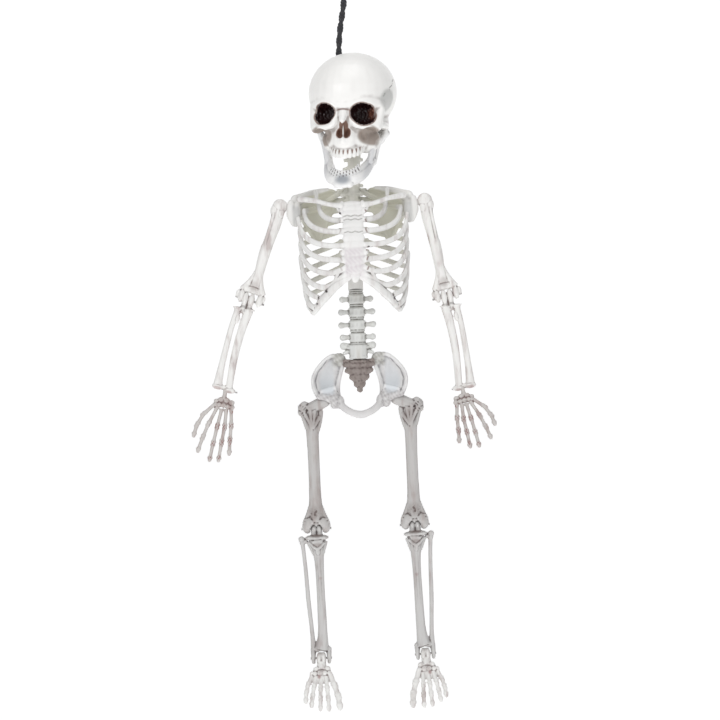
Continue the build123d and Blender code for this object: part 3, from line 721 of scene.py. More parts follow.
def tooth_lines(places, count, arch, top, bottom, smile):
    """Thin lines between the teeth and along the gum."""
    cx, cy, _, rx, ry = arch
    x, y = (places[:, 0] - cx) / rx, (places[:, 1] - cy) / ry
    turn = np.degrees(np.arctan2(y, x)) + 90
    lift = smile * (1 - np.abs(np.sin(np.radians(turn - 90)))) ** 1.2
    step = (turn / 152 + 0.5) * count
    z = places[:, 2] - lift
    up = np.clip((z - bottom) / (top - bottom), 0, 1)
    up = up if top > bottom else 1 - up
    between = 1 - band(np.abs(step - np.round(step)), 0.04 + 0.10 * up, 0.12 + 0.22 * up)
    low, high = min(top, bottom), max(top, bottom)
    rows = band(z, low, low + 1.2) * (1 - band(z, high - 0.6, high))
    return between * rows * (np.abs(turn) < 74) * (y < 0.3) * (np.hypot(x, y) > 0.75)


at = spots(skull)


def inside(places, centre, half, turn):
    """Below 1 inside a turned ellipsoid, 1 on it, above 1 outside."""
    away = places - np.array(centre)
    c, n = math.cos(math.radians(turn)), math.sin(math.radians(turn))
    along, deep = away[:, 0] * c + away[:, 1] * n, away[:, 1] * c - away[:, 0] * n
    return np.sqrt((along / half[0]) ** 2 + (deep / half[1]) ** 2 + (away[:, 2] / half[2]) ** 2)


socket = np.min([inside(at, *cut) for cut in EYE_CUTS], axis=0)
rim = (1 - band(socket, 1.12, 1.21)) * (1 - band(at[:, 1], -24, -21))
socket = 1 - band(socket, 1.05, 1.11)
# small wrinkles inside the sockets, from thick paint
ripple = np.sin(at[:, 0] * 2.7 + 2.4 * np.sin(at[:, 2] * 1.2)) * np.sin(at[:, 2] * 2.3 + at[:, 1])
move_out(skull, socket * ripple * 0.5)
keep_mask(skull, "socket", socket)
keep_mask(skull, "rim", rim - socket)
# painted highlight: a lighter red-brown patch in the figure's left socket, a reflection on its gloss
socket_highlight = (1 - band(np.hypot(at[:, 0] - 15.8, at[:, 2] - 18.5), 1.5, 4.6)) * socket
keep_mask(skull, "socket_highlight", socket_highlight * (0.6 + 0.4 * ripple))
# painted shadow: a thin dark line across the bridge of the nose, between the sockets
bridge_shadow = (1 - band(
    np.abs(at[:, 2] - 21.4 + 0.04 * at[:, 0] ** 2), 0.2, 0.9
)) * (1 - band(np.abs(at[:, 0]), 2.8, 5.0))
keep_mask(skull, "bridge_shadow", bridge_shadow * (1 - band(at[:, 1], -28, -25)))
nose = np.minimum(
    np.minimum(ellipse_at(at, 2.2, 6.9, 2.5, 3.6), ellipse_at(at, -2.2, 6.9, 2.5, 3.6)),
    np.minimum(ellipse_at(at, 1.3, 10.6, 1.7, 4.2), ellipse_at(at, -1.3, 10.6, 1.7, 4.2)),
)
septum = band(at[:, 1], -33.0, -31.6) + band(np.abs(at[:, 0]), 0.55, 0.9)
keep_mask(
    skull, "nose",
    (1 - band(nose, 0.88, 1.02)) * band(at[:, 1], -33.6, -32.2) * np.clip(septum, 0, 1)
)
keep_mask(skull, "tooth_line", tooth_lines(at, UPPER_TEETH, UPPER_ARCH, -2.9, -6.2, UPPER_SMILE))
# zigzag seam over the temple and the grey patch below it, on the figure's left
seam_y = -23.8 + 1.5 * np.abs(at[:, 2] - 27.5) + 1.6 * np.abs(((at[:, 2] * 0.55) % 2) - 1)
on_side = band(np.abs(at[:, 0]), 13, 16) * band(at[:, 2], 26.5, 27.5) * (1 - band(at[:, 2], 39, 41))
seam = (1 - band(np.abs(at[:, 1] - seam_y), 0.2, 0.75)) * on_side * (at[:, 0] > 0)
dots = 0.5 + 0.5 * np.sin(at[:, 2] * 3.1 + np.sin(at[:, 2] * 1.7) * 2)
keep_mask(skull, "seam", seam * band(dots, 0.45, 0.8))
move_out(skull, -0.2 * seam * dots)
temple = ellipse_at(np.stack([at[:, 1], at[:, 0] * 0, at[:, 2]], 1), -15.5, 26.5, 8.5, 8.0)
keep_mask(skull, "temple", (1 - band(temple, 0.7, 1.05)) * band(at[:, 0], 15, 19))
# painted shade: dark brown under the cheekbones, where the cheek hollows lie in shadow
cheek_shade = ellipse_at(np.stack([np.abs(at[:, 0]), at[:, 1], at[:, 2]], 1), 14.8, 5.6, 7.8, 6.8)
keep_mask(
    skull, "cheek_shade",
    (1 - band(cheek_shade, 0.75, 1.0)) * (1 - band(at[:, 1], -12, -7)) * band(at[:, 1], -30.6, -28.6)
)
mark_hollows(skull, edge=0.08)


def lower_front(piece):
    """The face hangs a little forward and down, so everything ahead of the neck is lower."""
    places = spots(piece)
    places[:, 2] += 0.09 * places[:, 1]
    piece.data.vertices.foreach_set("co", (places * MM).ravel())
    piece.data.update()


lower_front(skull)
skull_white = bone_material(
    "skull_white", (0.93, 0.92, 0.90), (0.30, 0.26, 0.24), (0.86, 0.85, 0.83), 0.75, 0.35, 0.34
)
paint_over(skull_white, "temple", (0.60, 0.60, 0.585))
paint_over(skull_white, "cheek_shade", (0.34, 0.285, 0.25))
paint_over(skull_white, "seam", (0.22, 0.21, 0.20))
paint_over(skull_white, "tooth_line", (0.20, 0.105, 0.075))
paint_over(skull_white, "bridge_shadow", (0.24, 0.17, 0.15))
paint_over(skull_white, "nose", (0.20, 0.11, 0.08), 0.5)
paint_over(skull_white, "rim", (0.20, 0.085, 0.045), 0.35)
paint_over(skull_white, "socket", (0.022, 0.007, 0.007), 0.14)
paint_over(skull_white, "socket_highlight", (0.24, 0.09, 0.055), 0.3)


def finish_piece(piece, place, body, material, slot, *nodes):
    """Puts a piece where its frame says, rides it on its body and stands it in for the CAD nodes."""
    piece.data.transform(place @ Matrix.Scale(1, 4))
    if place.determinant() < 0:
        piece.data.flip_normals()
    piece.data.update()
    bpy.ops.object.select_all(action="DESELECT")
    piece.select_set(True)
    bpy.context.view_layer.objects.active = piece
    bpy.ops.object.shade_smooth()
    piece.select_set(False)
    piece.data.materials.clear()
    piece.data.materials.append(material)
    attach(piece, body)
    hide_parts(*nodes)


def part_off(piece, name, keep):
    """Copies the half of a piece on one side of the seam plane; keep names the half, face or rear."""
    half = piece.copy()
    half.data = piece.data.copy()
    half.name = name
    bpy.context.collection.objects.link(half)
    bpy.ops.object.select_all(action="DESELECT")
    half.select_set(True)
    bpy.context.view_layer.objects.active = half
    bpy.ops.object.mode_set(mode="EDIT")
    bpy.ops.mesh.select_all(action="SELECT")
    bpy.ops.mesh.bisect(
        plane_co=(0, SKULL_SEAM_Y * MM, 0),
        plane_no=(0, 1, 0),
        use_fill=True,
        clear_inner=keep == "rear",
        clear_outer=keep == "face",
    )
    bpy.ops.object.mode_set(mode="OBJECT")
    return half


SKULL_SEAM_Y = 2.0  # the two halves of the skull meet here
skull_face = part_off(skull, "skull_face_half", "face")
skull_rear = part_off(skull, "skull_rear_half", "rear")
bpy.data.objects.remove(skull)
finish_piece(skull_face, head_place, "skull", skull_white, "skull_plastic", "skull_face")
finish_piece(skull_rear, head_place, "skull", skull_white, "skull_plastic", "skull_rear")

# ---------------------------------------------------------------- jaw
# One moulding: the U of the chin, two upright branches with the hinge ears, and the lower teeth.
# It hangs a little open. Painted grey-blue shade darkens the chin below the teeth and the back of each
# branch, and dots mark the gum line.
LOWER_TEETH, LOWER_ARCH = 12, (0, -17.8, -17.0, 8.6, 11.4)
LOWER_SMILE = 6.4
jaw = fuse(
    "jaw",
    [
        strand([
            (-14.8, -6, -9, 2.4), (-13.4, -13, -15.0, 3.0), (-8.6, -25.0, -20.6, 3.6),
            (0, -29.0, -21.2, 3.9),
            (8.6, -25.0, -20.6, 3.6), (13.4, -13, -15.0, 3.0), (14.8, -6, -9, 2.4),
        ]),
        strand([
            (-13.6, -8, -7.5, 1.8), (-11.4, -16, -13.0, 2.2), (-6.6, -26.0, -18.0, 2.4),
            (0, -28.8, -18.4, 2.4),
            (6.6, -26.0, -18.0, 2.4), (11.4, -16, -13.0, 2.2), (13.6, -8, -7.5, 1.8),
        ]),
        knob((0, -29.2, -22.4), (6.0, 3.3, 3.4)),
        knob((-4.0, -29.0, -23.6), (2.6, 2.4, 2.2)),
        knob((4.0, -29.0, -23.6), (2.6, 2.4, 2.2)),
        *both(
            lambda s: [
                *rounded([
                    (s * 14.8, -4.6, -10.0, 2.6), (s * 16.4, -3.6, -2, 2.3),
                    (s * 20.2, -3.2, 6.8, 2.2)
                ]),
                *rounded([
                    (s * 13.8, -12, -10, 2.2), (s * 15.4, -12.6, -2, 1.9),
                    (s * 17.2, -12.0, 3.0, 1.3)
                ]),
                knob((s * 15.2, -8.2, -4.5), (1.7, 6.4, 8.8), (0, s * 13, 0)),
                knob((s * 20.4, -3.0, 7.0), (1.9, 3.0, 3.0)),
            ]
        ),
        *tooth_row(LOWER_TEETH, LOWER_ARCH, (1.0, 0.9, 2.1), LOWER_SMILE),
    ],
    grain=0.4,
    relax=3,
)
at = spots(jaw)
gums = tooth_lines(at, LOWER_TEETH, LOWER_ARCH, -15.4, -20.0, LOWER_SMILE)
keep_mask(jaw, "tooth_line", gums * band(np.sin(at[:, 2] * 3.3 + at[:, 0] * 2.1), -0.5, 0.2))
# painted shade: grey-blue on the chin under the lower teeth
chin_shade = ellipse_at(at, 0, -20.6, 6.5, 4.0)
keep_mask(jaw, "chin_shade", (1 - band(chin_shade, 0.3, 1.1)) * (1 - band(at[:, 1], -26, -22)))
# painted shade: the back of each branch is darkened to a blue-grey
keep_mask(jaw, "cheek_shade", (1 - band(at[:, 1], -14, -10)) * band(np.abs(at[:, 0]), 11, 13.5) * 0.4)
mark_hollows(jaw, edge=0.12)
lower_front(jaw)
# Its branch on the figure's left comes in a little, and the chin moves a little to the right.
places = spots(jaw)
branch_in = 0.13 * np.maximum(places[:, 0], 0) * (1 - band(places[:, 2], -1, 6))
places[:, 0] -= branch_in + 0.3 * band(-places[:, 2], 8, 16)
jaw.data.vertices.foreach_set("co", (places * MM).ravel())
jaw_white = bone_material(
    "jaw_white", (0.92, 0.915, 0.91), (0.34, 0.33, 0.34), (0.72, 0.72, 0.73), 0.7, 0.4, 0.34
)
paint_over(jaw_white, "cheek_shade", (0.55, 0.56, 0.60))
paint_over(jaw_white, "chin_shade", (0.36, 0.38, 0.41))
paint_over(jaw_white, "tooth_line", (0.13, 0.11, 0.11))
finish_piece(jaw, head_place, "jaw", jaw_white, "skull_plastic", "jaw")

# ---------------------------------------------------------------- neck and rib cage
# The cage is two mouldings. The front has the breastbone, collar bones, front ribs and their margin.
# The rear has the chest spine, back ribs, blades and arm blocks; its inside is painted olive grey as shade,
# paler where it faces the light, and the neck column has the same painted shade.
row = Matrix.Identity(4)
# half width, height at the side, front end (x, z), height at the spine, depth forward, depth back
RIBS = [
    (20.6, -163.5, (7.0, -174.6), -153.5, 12.5, 18.0),
    (29.6, -167.0, (7.2, -181.6), -159.0, 16.5, 20.0),
    (33.4, -171.0, (7.4, -190.4), -165.0, 19.5, 21.0),
    (33.0, -178.8, (7.4, -199.0), -171.0, 20.5, 21.5),
    (32.8, -186.8, (14.5, -206.6), -177.5, 21.0, 22.0),
    (33.0, -195.2, (18.0, -215.0), -184.5, 20.5, 21.5),
    (32.2, -203.6, (22.8, -220.6), -191.5, 20.0, 20.5),
    (31.2, -211.6, (25.2, -226.6), -199.0, 19.0, 19.5),
    (29.8, -218.6, (26.6, -228.4), -206.5, 18.0, 18.5),
]
RIB_TAILS = {
    4: [(5.6, -21.0, -204.0), (11.0, -21.0, -206.2)],
    5: [(10.6, -20.4, -209.6), (12.6, -19.4, -213.4)]
}
RIB_TALL = 0.45


def front_rib(s, k):
    """The part of rib k ahead of the side, from the breastbone or the margin outwards."""
    half_width, side_z, (front_x, front_z), _, deep, _ = RIBS[k]
    start = math.asin(front_x / half_width)
    turns = [start + (math.pi / 2 - start) * i / 6 for i in range(7)]
    path = [(s * x, y, z, 1.2) for x, y, z in RIB_TAILS.get(k, [])]
    for turn in turns:
        share = math.cos(turn) / math.cos(start)
        drop = (side_z - front_z) * (1 - (1 - share) ** 1.5)
        path.append((s * half_width * math.sin(turn), -deep * math.cos(turn), side_z - drop, 1.2))
    return strand(path, RIB_TALL)


def back_rib(s, k):
    """The part of rib k behind the side. It climbs steadily to the spine."""
    half_width, side_z, _, spine_z, _, back = RIBS[k]
    path = []
    for i in range(8):
        turn = math.radians(92 * i / 7)
        x = max(3.4, half_width * math.cos(turn))
        path.append((
            s * x, back * math.sin(turn) ** 0.9,
            side_z + (spine_z - side_z) * (half_width - x) / (half_width - 3.4), 1.15
        ))
    return strand(path, RIB_TALL)


neck_lumps = [strand([
    (0, 11.4, -161, 4.0), (1.0, 8.5, -148, 4.0), (2.2, 6.4, -138, 3.9), (2.8, 5.2, -129.4, 4.2)
])]
for k in range(6):
    x, y, z = 0.45 * k, 10.0 - 0.85 * k, -157.2 + 5.2 * k
    neck_lumps += [
        knob((x, y, z), (5.6, 4.4, 1.5)),
        knob((x, y - 2.6, z + 0.2), (3.4, 1.6, 1.7)),
        strand([(x, y + 2, z, 1.2), (x, y + 7.4, z - 1.6, 1.0)]),
        *both(lambda s: [strand([
            (x + s * 3.6, y + 0.6, z, 1.2), (x + s * (5.6 + 0.3 * (5 - k)), y + 0.2, z - 0.4, 1.1)
        ])]),
    ]
neck = fuse("neck_column", neck_lumps, 0.45, 2)

sternum_path = [
    (0, -11.6, -165.4, 1.0),
    (0, -12.6, -168, 1.0),
    (0, -14.2, -174, 1.0),
    (0, -17.2, -182, 1.0),
    (0, -19.6, -190, 1.0),
    (0, -20.8, -199, 1.0),
    (0, -21.0, -204, 1.0),
    (0, -20.8, -210.4, 1.0),
]
sternum_wide = [7.2, 7.5, 6.4, 6.7, 6.9, 7.8, 6.4, 2.2]
front_lumps = [
    knob((x, y, z), (wide, 1.7, 3.9 if 0 < i < 7 else 2.6), (-16, 0, 0))
    for i, ((x, y, z, r), wide) in enumerate(zip(sternum_path, sternum_wide))
]
front_lumps += [
    knob((0, -11.9, -167.4), (7.4, 1.8, 3.4), (-16, 0, 0)),
    knob((0, -13.4, -171), (7.0, 1.8, 3.6), (-16, 0, 0)),
    knob((0, -15.6, -178), (6.5, 1.8, 4.6), (-20, 0, 0)),
    knob((0, -18.5, -186), (6.8, 1.8, 4.6), (-16, 0, 0)),
    knob((0, -20.3, -194.8), (7.5, 1.8, 4.6), (-6, 0, 0)),
    knob((0, -21.0, -203.5), (5.2, 1.7, 5.4)),
    knob((0, -20.9, -207.5), (3.4, 1.5, 4.4)),
]
for s in (1, -1):
    front_lumps += [front_rib(s, k) for k in range(len(RIBS))]
    front_lumps += [knob((s * x, y, z), (1.7, 1.6, 1.9)) for x, y, z in (
        (6.9, -12.6, -169.4), (6.6, -13.2, -174.6), (6.5, -16.2, -181.6), (6.6, -19.2, -190.4),
        (6.9, -20.6, -194.6), (7.0, -20.8, -199.0), (5.9, -21.0, -204.0), (5.2, -21.0, -207.2),
    )]
    margin = [
        (3.6, -20.8, -209.8, 1.2), (7.5, -20.6, -211.6, 1.6), (12.6, -19.6, -215.0, 1.9),
        (17.4, -17.4, -220.0, 1.9), (21.4, -14.0, -223.6, 1.9), (24.6, -10.0, -227.6, 1.8),
        (26.4, -6.6, -229.6, 1.6),
    ]
    front_lumps += rounded([(s * x, y, z, r) for x, y, z, r in margin], 0.3)
    front_lumps += rounded(
        [
            (s * x, y, z, 1.3) for x, y,
            z in (
                (4.0, -21.0, -207.6), (9.4, -20.6, -209.6), (13.4, -19.4, -214.6),
                (20.6, -14.6, -221.0)
            )
        ],
        0.4
    )
    front_lumps += rounded([(s * 10.4, -20.6, -207.4, 1.2), (s * 12.0, -20, -211, 1.3)])
    front_lumps += rounded([
        (s * 7.2, -12.2, -165.8, 2.1), (s * 11, -12.6, -165.3, 1.5), (s * 16, -12.2, -164.2, 1.45),
        (s * 22, -9.6, -161.8, 1.5), (s * 31.4, -3.6, -160.2, 1.9)
    ])
    front_lumps += rounded([(s * 6.2, -12.0, -163.8, 1.0), (s * 8.6, -12.4, -168.0, 1.0)])
cage_front = fuse("rib_cage_front", front_lumps, 0.42, 2)
at = spots(cage_front)
cuts = np.zeros(len(at))
for level in (-172.2, -174.4, -182.2):
    line = level + 0.25 * np.sin(at[:, 0] * 1.4)
    cuts = np.maximum(
        cuts,
        (1 - band(np.abs(at[:, 2] - line), 0.15, 0.55)) * (1 - band(np.abs(at[:, 0]), 5.4, 6.2))
    )
rough = (1 - band(np.abs(at[:, 0]), 4.6, 6.6)) * band(-at[:, 2], 190, 194) * (1 - band(-at[:, 2], 206, 211))
rough = rough * (1 - band(at[:, 1], -19, -17))
lumpy = np.sin(at[:, 0] * 1.3 + 1.3 * np.sin(at[:, 2] * 1.1)) * np.sin(at[:, 2] * 1.2 + at[:, 0])
move_out(cage_front, -0.3 * cuts + 0.05 * rough * lumpy)
# painted lighter: the flat front of the breastbone keeps the light plastic colour, while the rounded ribs
# carry a darker painted shade
keep_mask(
    cage_front, "flat",
    (1 - band(np.abs(at[:, 0]), 6.6, 8.6)) * (1 - band(at[:, 1], -10, -8)) * 0.75
)
keep_mask(cage_front, "line", cuts * 0.8)
keep_mask(cage_front, "bruise_and_shade", rough * (0.5 + 0.3 * lumpy))
joint_gap = 1 - band(np.abs(np.abs(at[:, 0]) - 8.1 + 0.5 * np.sin(at[:, 2])), 0.2, 0.7)
joint_gap = joint_gap * band(-at[:, 2], 167, 169) * (1 - band(-at[:, 2], 205, 208))
joint_gap = joint_gap * (1 - band(at[:, 1], -9, -7))
speck = np.zeros(len(at))
for x, z, r in (
    (-7.6, -170.4, 0.8), (8.6, -172.4, 0.8), (8.9, -191.6, 0.7), (10.8, -192.2, 0.7),
    (9.6, -203.4, 0.7), (-17.6, -217.4, 0.9), (23.6, -222.8, 1.1), (25.0, -224.4, 0.8),
    (-23.6, -224.4, 0.7), (12.4, -204.4, 0.6),
):
    speck = np.maximum(speck, 1 - band(np.hypot(at[:, 0] - x, at[:, 2] - z), r * 0.5, r * 1.2))
keep_mask(cage_front, "speck", speck * (1 - band(at[:, 1], -3, 0)))
keep_mask(
    cage_front, "rust",
    joint_gap * (0.35 + 0.5 * (at[:, 0] > 0)) * band(np.sin(at[:, 2] * 1.1), -0.4, 0.5)
)
mark_hollows(cage_front, 6, 30, 0.75)

rear_lumps = [
    strand([
        (0, 16.0, -160, 4.2), (0, 17.5, -176, 4.4), (0, 17.6, -192, 4.4), (0, 15.0, -205, 4.6),
        (0, 11.8, -216.5, 4.8)
    ])
]
for k in range(len(RIBS)):
    rear_lumps += [back_rib(s, k) for s in (1, -1)]
    spine_y = 16.6 + 1.6 * math.sin(k / 8 * math.pi) - (0.9 * max(0, k - 5))
    z = RIBS[k][3] - 2.0
    rear_lumps += [
        knob((0, spine_y, z), (5.3, 4.6, 2.9)),
        strand([(0, spine_y + 3, z, 1.4), (0, spine_y + 8, z - 3.6, 1.0)])
    ]
    rear_lumps += both(lambda s: rounded([
        (s * 3, spine_y + 1, z + 0.6, 1.3), (s * 8.4, spine_y + 4.0, z + 1.6, 1.2)
    ]))


def blade(s):
    """A shoulder blade: a thin curved plate, its thick rim and ridge, and the block for the arm."""
    rim = [
        (33, 5.5, -161.5, 1.3), (22, 14.6, -156.2, 1.3), (12.5, 18.4, -153.2, 1.2),
        (9.4, 19.6, -156, 1.2), (12, 19.4, -165, 1.2), (17.6, 17.6, -178, 1.3),
        (22.4, 15.6, -187.6, 1.6), (25.4, 12.4, -181, 1.3), (31, 7.6, -172, 1.4),
    ]
    ridge = [
        (14.4, 20.0, -153.4, 1.2), (22.7, 14.6, -154.6, 1.6), (30, 7.6, -157.6, 1.8),
        (35.5, 2.0, -159.6, 2.0)
    ]
    plate = [sheet([
        [(33.0, 5.8, -162.0), (28.0, 10.6, -159.0), (22.0, 14.8, -156.8), (12.6, 18.6, -153.8)],
        [(32.0, 7.0, -168.0), (26.6, 12.2, -166.0), (20.4, 16.4, -164.0), (10.6, 19.8, -160.0)],
        [(28.8, 9.6, -175.4), (24.8, 13.2, -174.6), (20.0, 16.6, -174.0), (14.4, 18.8, -171.0)],
        [(24.2, 13.6, -185.0), (23.0, 14.6, -186.0), (21.6, 15.8, -186.6), (19.2, 17.0, -182.6)],
    ], 1.5)]
    lumps = [strand([(x, y, z, r) for x, y, z, r in rim]), *plate, *rounded(ridge, 0.3)]
    lumps += rounded([
        (34.0, 3.4, -162.0, 2.0), (34.8, 2.2, -166, 3.6), (34.6, 1.8, -171, 3.2),
        (35.0, 2.0, -175.4, 1.4)
    ])
    lumps += rounded([
        (37.4, 0.6, -161.8, 2.0), (37.6, 1.2, -166, 3.6), (37.0, 1.4, -171.6, 2.9),
        (36.6, 1.4, -175.0, 1.3)
    ])
    lumps += rounded([(21.6, -7.0, -160.6, 1.2), (21.4, -3.0, -157.6, 1.3), (22.0, 8.0, -155.2, 1.4)])
    for lump in lumps:
        lump.data.transform(Matrix.Scale(s, 4, (1, 0, 0)))
        if s < 0:
            lump.data.flip_normals()
    return lumps


rear_lumps += both(blade)
cage_rear = fuse("rib_cage_rear", rear_lumps, 0.45, 2)
carve(cage_rear, both(lambda s: [knob((s * 44.8, 2.0, -164.8), (5.6, 5.6, 6.4))]), 0.4)
at = spots(cage_rear)
across_out = np.abs(at[:, 0])
# the painted shade is lifted to a paler grey where the rear faces the light: outer ends, front edges, blade
# ridge, back and lower spine
pale = np.maximum(band(across_out, 30.5, 33.5), (1 - band(at[:, 1], 3.0, 9.0)) * 0.9)
ridge_z = -152.2 - 0.30 * (across_out - 14)
pale = np.maximum(pale, band(at[:, 2] - ridge_z, -2.2, -1.0) * band(across_out, 13, 15))
pale = np.maximum(pale, 0.75 * band(at[:, 1], 20, 23.5))
pale = np.maximum(pale, band(-at[:, 2], 206, 211) * (1 - band(across_out, 7, 10)))
keep_mask(cage_rear, "pale", pale)
# painted shade: the blades behind the ribs are painted a deeper olive
keep_mask(
    cage_rear, "plate", band(across_out, 9, 12) * band(at[:, 1], 6, 8) * band(at[:, 2], -188, -184)
)
# painted shade on the inner faces of the arm blocks, painted a darker grey
inner = band(across_out, 30.5, 32) * (1 - band(across_out, 35.5, 37.5))
inner = inner * band(-at[:, 2], 162, 165) * (1 - band(at[:, 1], -1, 1.5))
keep_mask(cage_rear, "bruise_and_shade", inner * 0.9)
mark_hollows(cage_rear, 6, 30, 0.2)

# The cage plastic is painted a darker grey as shade on the rounded ribs; the breastbone front is painted
# lighter again, and raised parts get a painted highlight.
cage_white = bone_material(
    "cage_white", (0.82, 0.815, 0.80), (0.22, 0.20, 0.19), (0.62, 0.575, 0.56), 1.2, 0.8, ridge_highlight=0.9
)
paint_over(cage_white, "flat", (0.92, 0.91, 0.90))
paint_over(cage_white, "bruise_and_shade", (0.68, 0.62, 0.65))
paint_over(cage_white, "line", (0.40, 0.39, 0.37))
paint_over(cage_white, "rust", (0.22, 0.13, 0.11))
paint_over(cage_white, "speck", (0.035, 0.025, 0.025))
# painted shade: an olive grey for the rear of the cage and the neck, which lie in shade
cage_rear_shade = bone_material(
    "cage_rear_shade", (0.74, 0.73, 0.67), (0.27, 0.26, 0.215), (0.58, 0.57, 0.50), 0.9, 0.6
)
paint_over(cage_rear_shade, "plate", (0.72, 0.71, 0.61))
paint_over(cage_rear_shade, "pale", (0.80, 0.79, 0.77))
paint_over(cage_rear_shade, "bruise_and_shade", (0.56, 0.56, 0.55))
# the neck column takes the same painted olive shade
finish_piece(neck, row, "torso", cage_rear_shade, "bone_plastic", "neck_column")
finish_piece(cage_front, row, "torso", cage_white, "bone_plastic", "rib_cage_front")
finish_piece(cage_rear, row, "torso", cage_rear_shade, "bone_plastic", "rib_cage_rear", "rib_cage_pegs")

# ---------------------------------------------------------------- lower spine
# Five vertebrae in one moulding, with two thin pads between each pair and knobs at the sides.
# The last one stands on the waist peg, which turns in the sacrum.
LEVELS = [-213.9, -221.8, -229.7, -237.6, -245.2]
REACH = [8.2, 8.6, 9.6, 9.8, 9.2]  # how far the side knobs come out
spine_lumps = []
for k, (z, out) in enumerate(zip(LEVELS, REACH)):
    y = 11.4 - 0.95 * k if k < 4 else 7.6
    if k:
        spine_lumps += [strand([(0, y, z + 2.2, 5.2), (0, y, z, 4.6), (0, y, z - 2.2, 5.2)])]
        spine_lumps += [knob((0, y, z + 1.8), (5.3, 4.8, 0.9)), knob((0, y, z - 1.8), (5.3, 4.8, 0.9))]
        spine_lumps += both(lambda s: rounded([
            (s * 3.6, y + 0.8, z, 1.4), (s * (out - 2.4), y + 1.2, z, 1.35),
            (s * out, y + 1.2, z, 2.05)
        ]))
        spine_lumps += rounded([(0, y + 3, z, 1.3), (0, y + 8.4, z - 1.4, 1.2)], 0.8)
    spine_lumps += [knob((0, y - 0.3, z - 3.95 + d), (5.05, 4.6, 0.5)) for d in (-1.35, 0.0, 1.35)]
    spine_lumps += [knob((0, y, z - 3.95), (4.3, 3.9, 1.6))]
spine_lumps += [
    knob((0, 7.4, -251.6), (7.4, 4.8, 1.6)),
    strand([(0, 7.4, -250, 6.4), (0, 7.4, -254, 5.7), (0, 7.4, -258.4, 5.6)]),
    knob((0, 7.4, -257.6), (6.0, 5.4, 1.3)),
    *both(lambda s: rounded([(s * 5, 8, -250.6, 1.8), (s * 9.0, 7.6, -250.4, 2.3)])),
    *both(lambda s: rounded([(s * 5, 7.6, -253.4, 1.5), (s * 8.6, 8.0, -254.8, 1.1)])),
]
lower_spine = fuse("lumbar_spine", spine_lumps, 0.42, 1)
mark_hollows(lower_spine, 5, 20, 0.25)
spine_white = bone_material(
    "spine_white", (0.73, 0.735, 0.715), (0.24, 0.23, 0.21), (0.62, 0.605, 0.57), 1.0, 0.7
)
finish_piece(lower_spine, row, "torso", spine_white, "bone_plastic", "lumbar_spine")

# ---------------------------------------------------------------- pelvis and sacrum
# Two shallow wings with a doubled rim stand on a ring, and a pitted brown wedge closes it behind.
# Local x runs outwards and each wing is shaped once, then mirrored.
WING = [(15.3, -254.8), (21.6, -258.9), (27.2, -265.6), (28.9, -270.7), (28.3, -275.5), (25.9, -280.6)]


def wing(s):
    """One wing, drawn as a fan of bars that cross from the ring to the rim, and the ring's own side."""
    crest = [(s * x, y, z, 1.25) for (x, z), y in zip(WING, (9.5, 8.4, 5.8, 3.0, -0.6, -4.6))]
    inner = [
        (9.6, 10.2, -262.5), (10.6, 9.6, -266.5), (12.0, 8.0, -270.5), (12.9, 6.0, -274.5),
        (12.7, 3.2, -278.0), (13.2, 0.6, -281.0)
    ]
    lumps = [strand([(s * 9.2, 10.6, -258.8, 1.2), *crest, (s * 24.4, -4.8, -281.6, 1.2)])]
    middle = [
        ((c[0] + s * r[0]) / 2, (c[1] + r[1]) / 2 + 2.0, (c[2] + r[2]) / 2) for c,
        r in zip(crest, inner)
    ]
    outer = [c[:3] for c in crest]
    lumps.append(sheet([outer, middle, [(s * x, y, z) for x, y, z in inner]], 1.7))
    lumps += [
        knob((s * 12.4, 11.2, -257.8), (4.4, 2.4, 3.4)),
        knob((s * 10.2, 11.4, -260.6), (3.4, 2.4, 3.0))
    ]
    lumps += rounded(
        [(s * 25.4, -4.6, -280.4, 1.5), (s * 21, -4.2, -281.4, 1.4), (s * 17.4, -3.4, -282.4, 2.2)],
        0.3
    )
    lumps += rounded([(s * x, y, z, r) for x, y, z, r in (
        (9.8, 10.4, -262, 1.2), (12.0, 8.6, -269, 1.2), (13.4, 5.4, -275, 1.4),
        (13.9, 1.6, -280, 2.0), (13.0, -2.4, -284.2, 2.4), (10.8, -5.4, -287.4, 2.3),
        (7.4, -7.6, -290.0, 2.3), (3.6, -8.8, -291.8, 2.3), (0, -9.2, -292.4, 2.4),
    )])
    lumps += [
        knob((s * 2.2, -9.0, -292.6), (2.2, 2.2, 1.9)),
        knob((s * 12.8, -1.2, -284.4), (3.2, 4.4, 4.2))
    ]
    lumps += [strand(
        [(s * 24.0, -3.6, -279.6, 1.2), (s * 19.0, -2.0, -278.6, 1.6), (s * 14.6, 0, -277.6, 1.6)],
        1.4
    )]
    lumps += [
        knob((s * 15.6, -0.4, -283.0), (3.6, 5.8, 5.6)),
        knob((s * 16.8, 0, -279.6), (2.6, 4.6, 2.4))
    ]
    return lumps


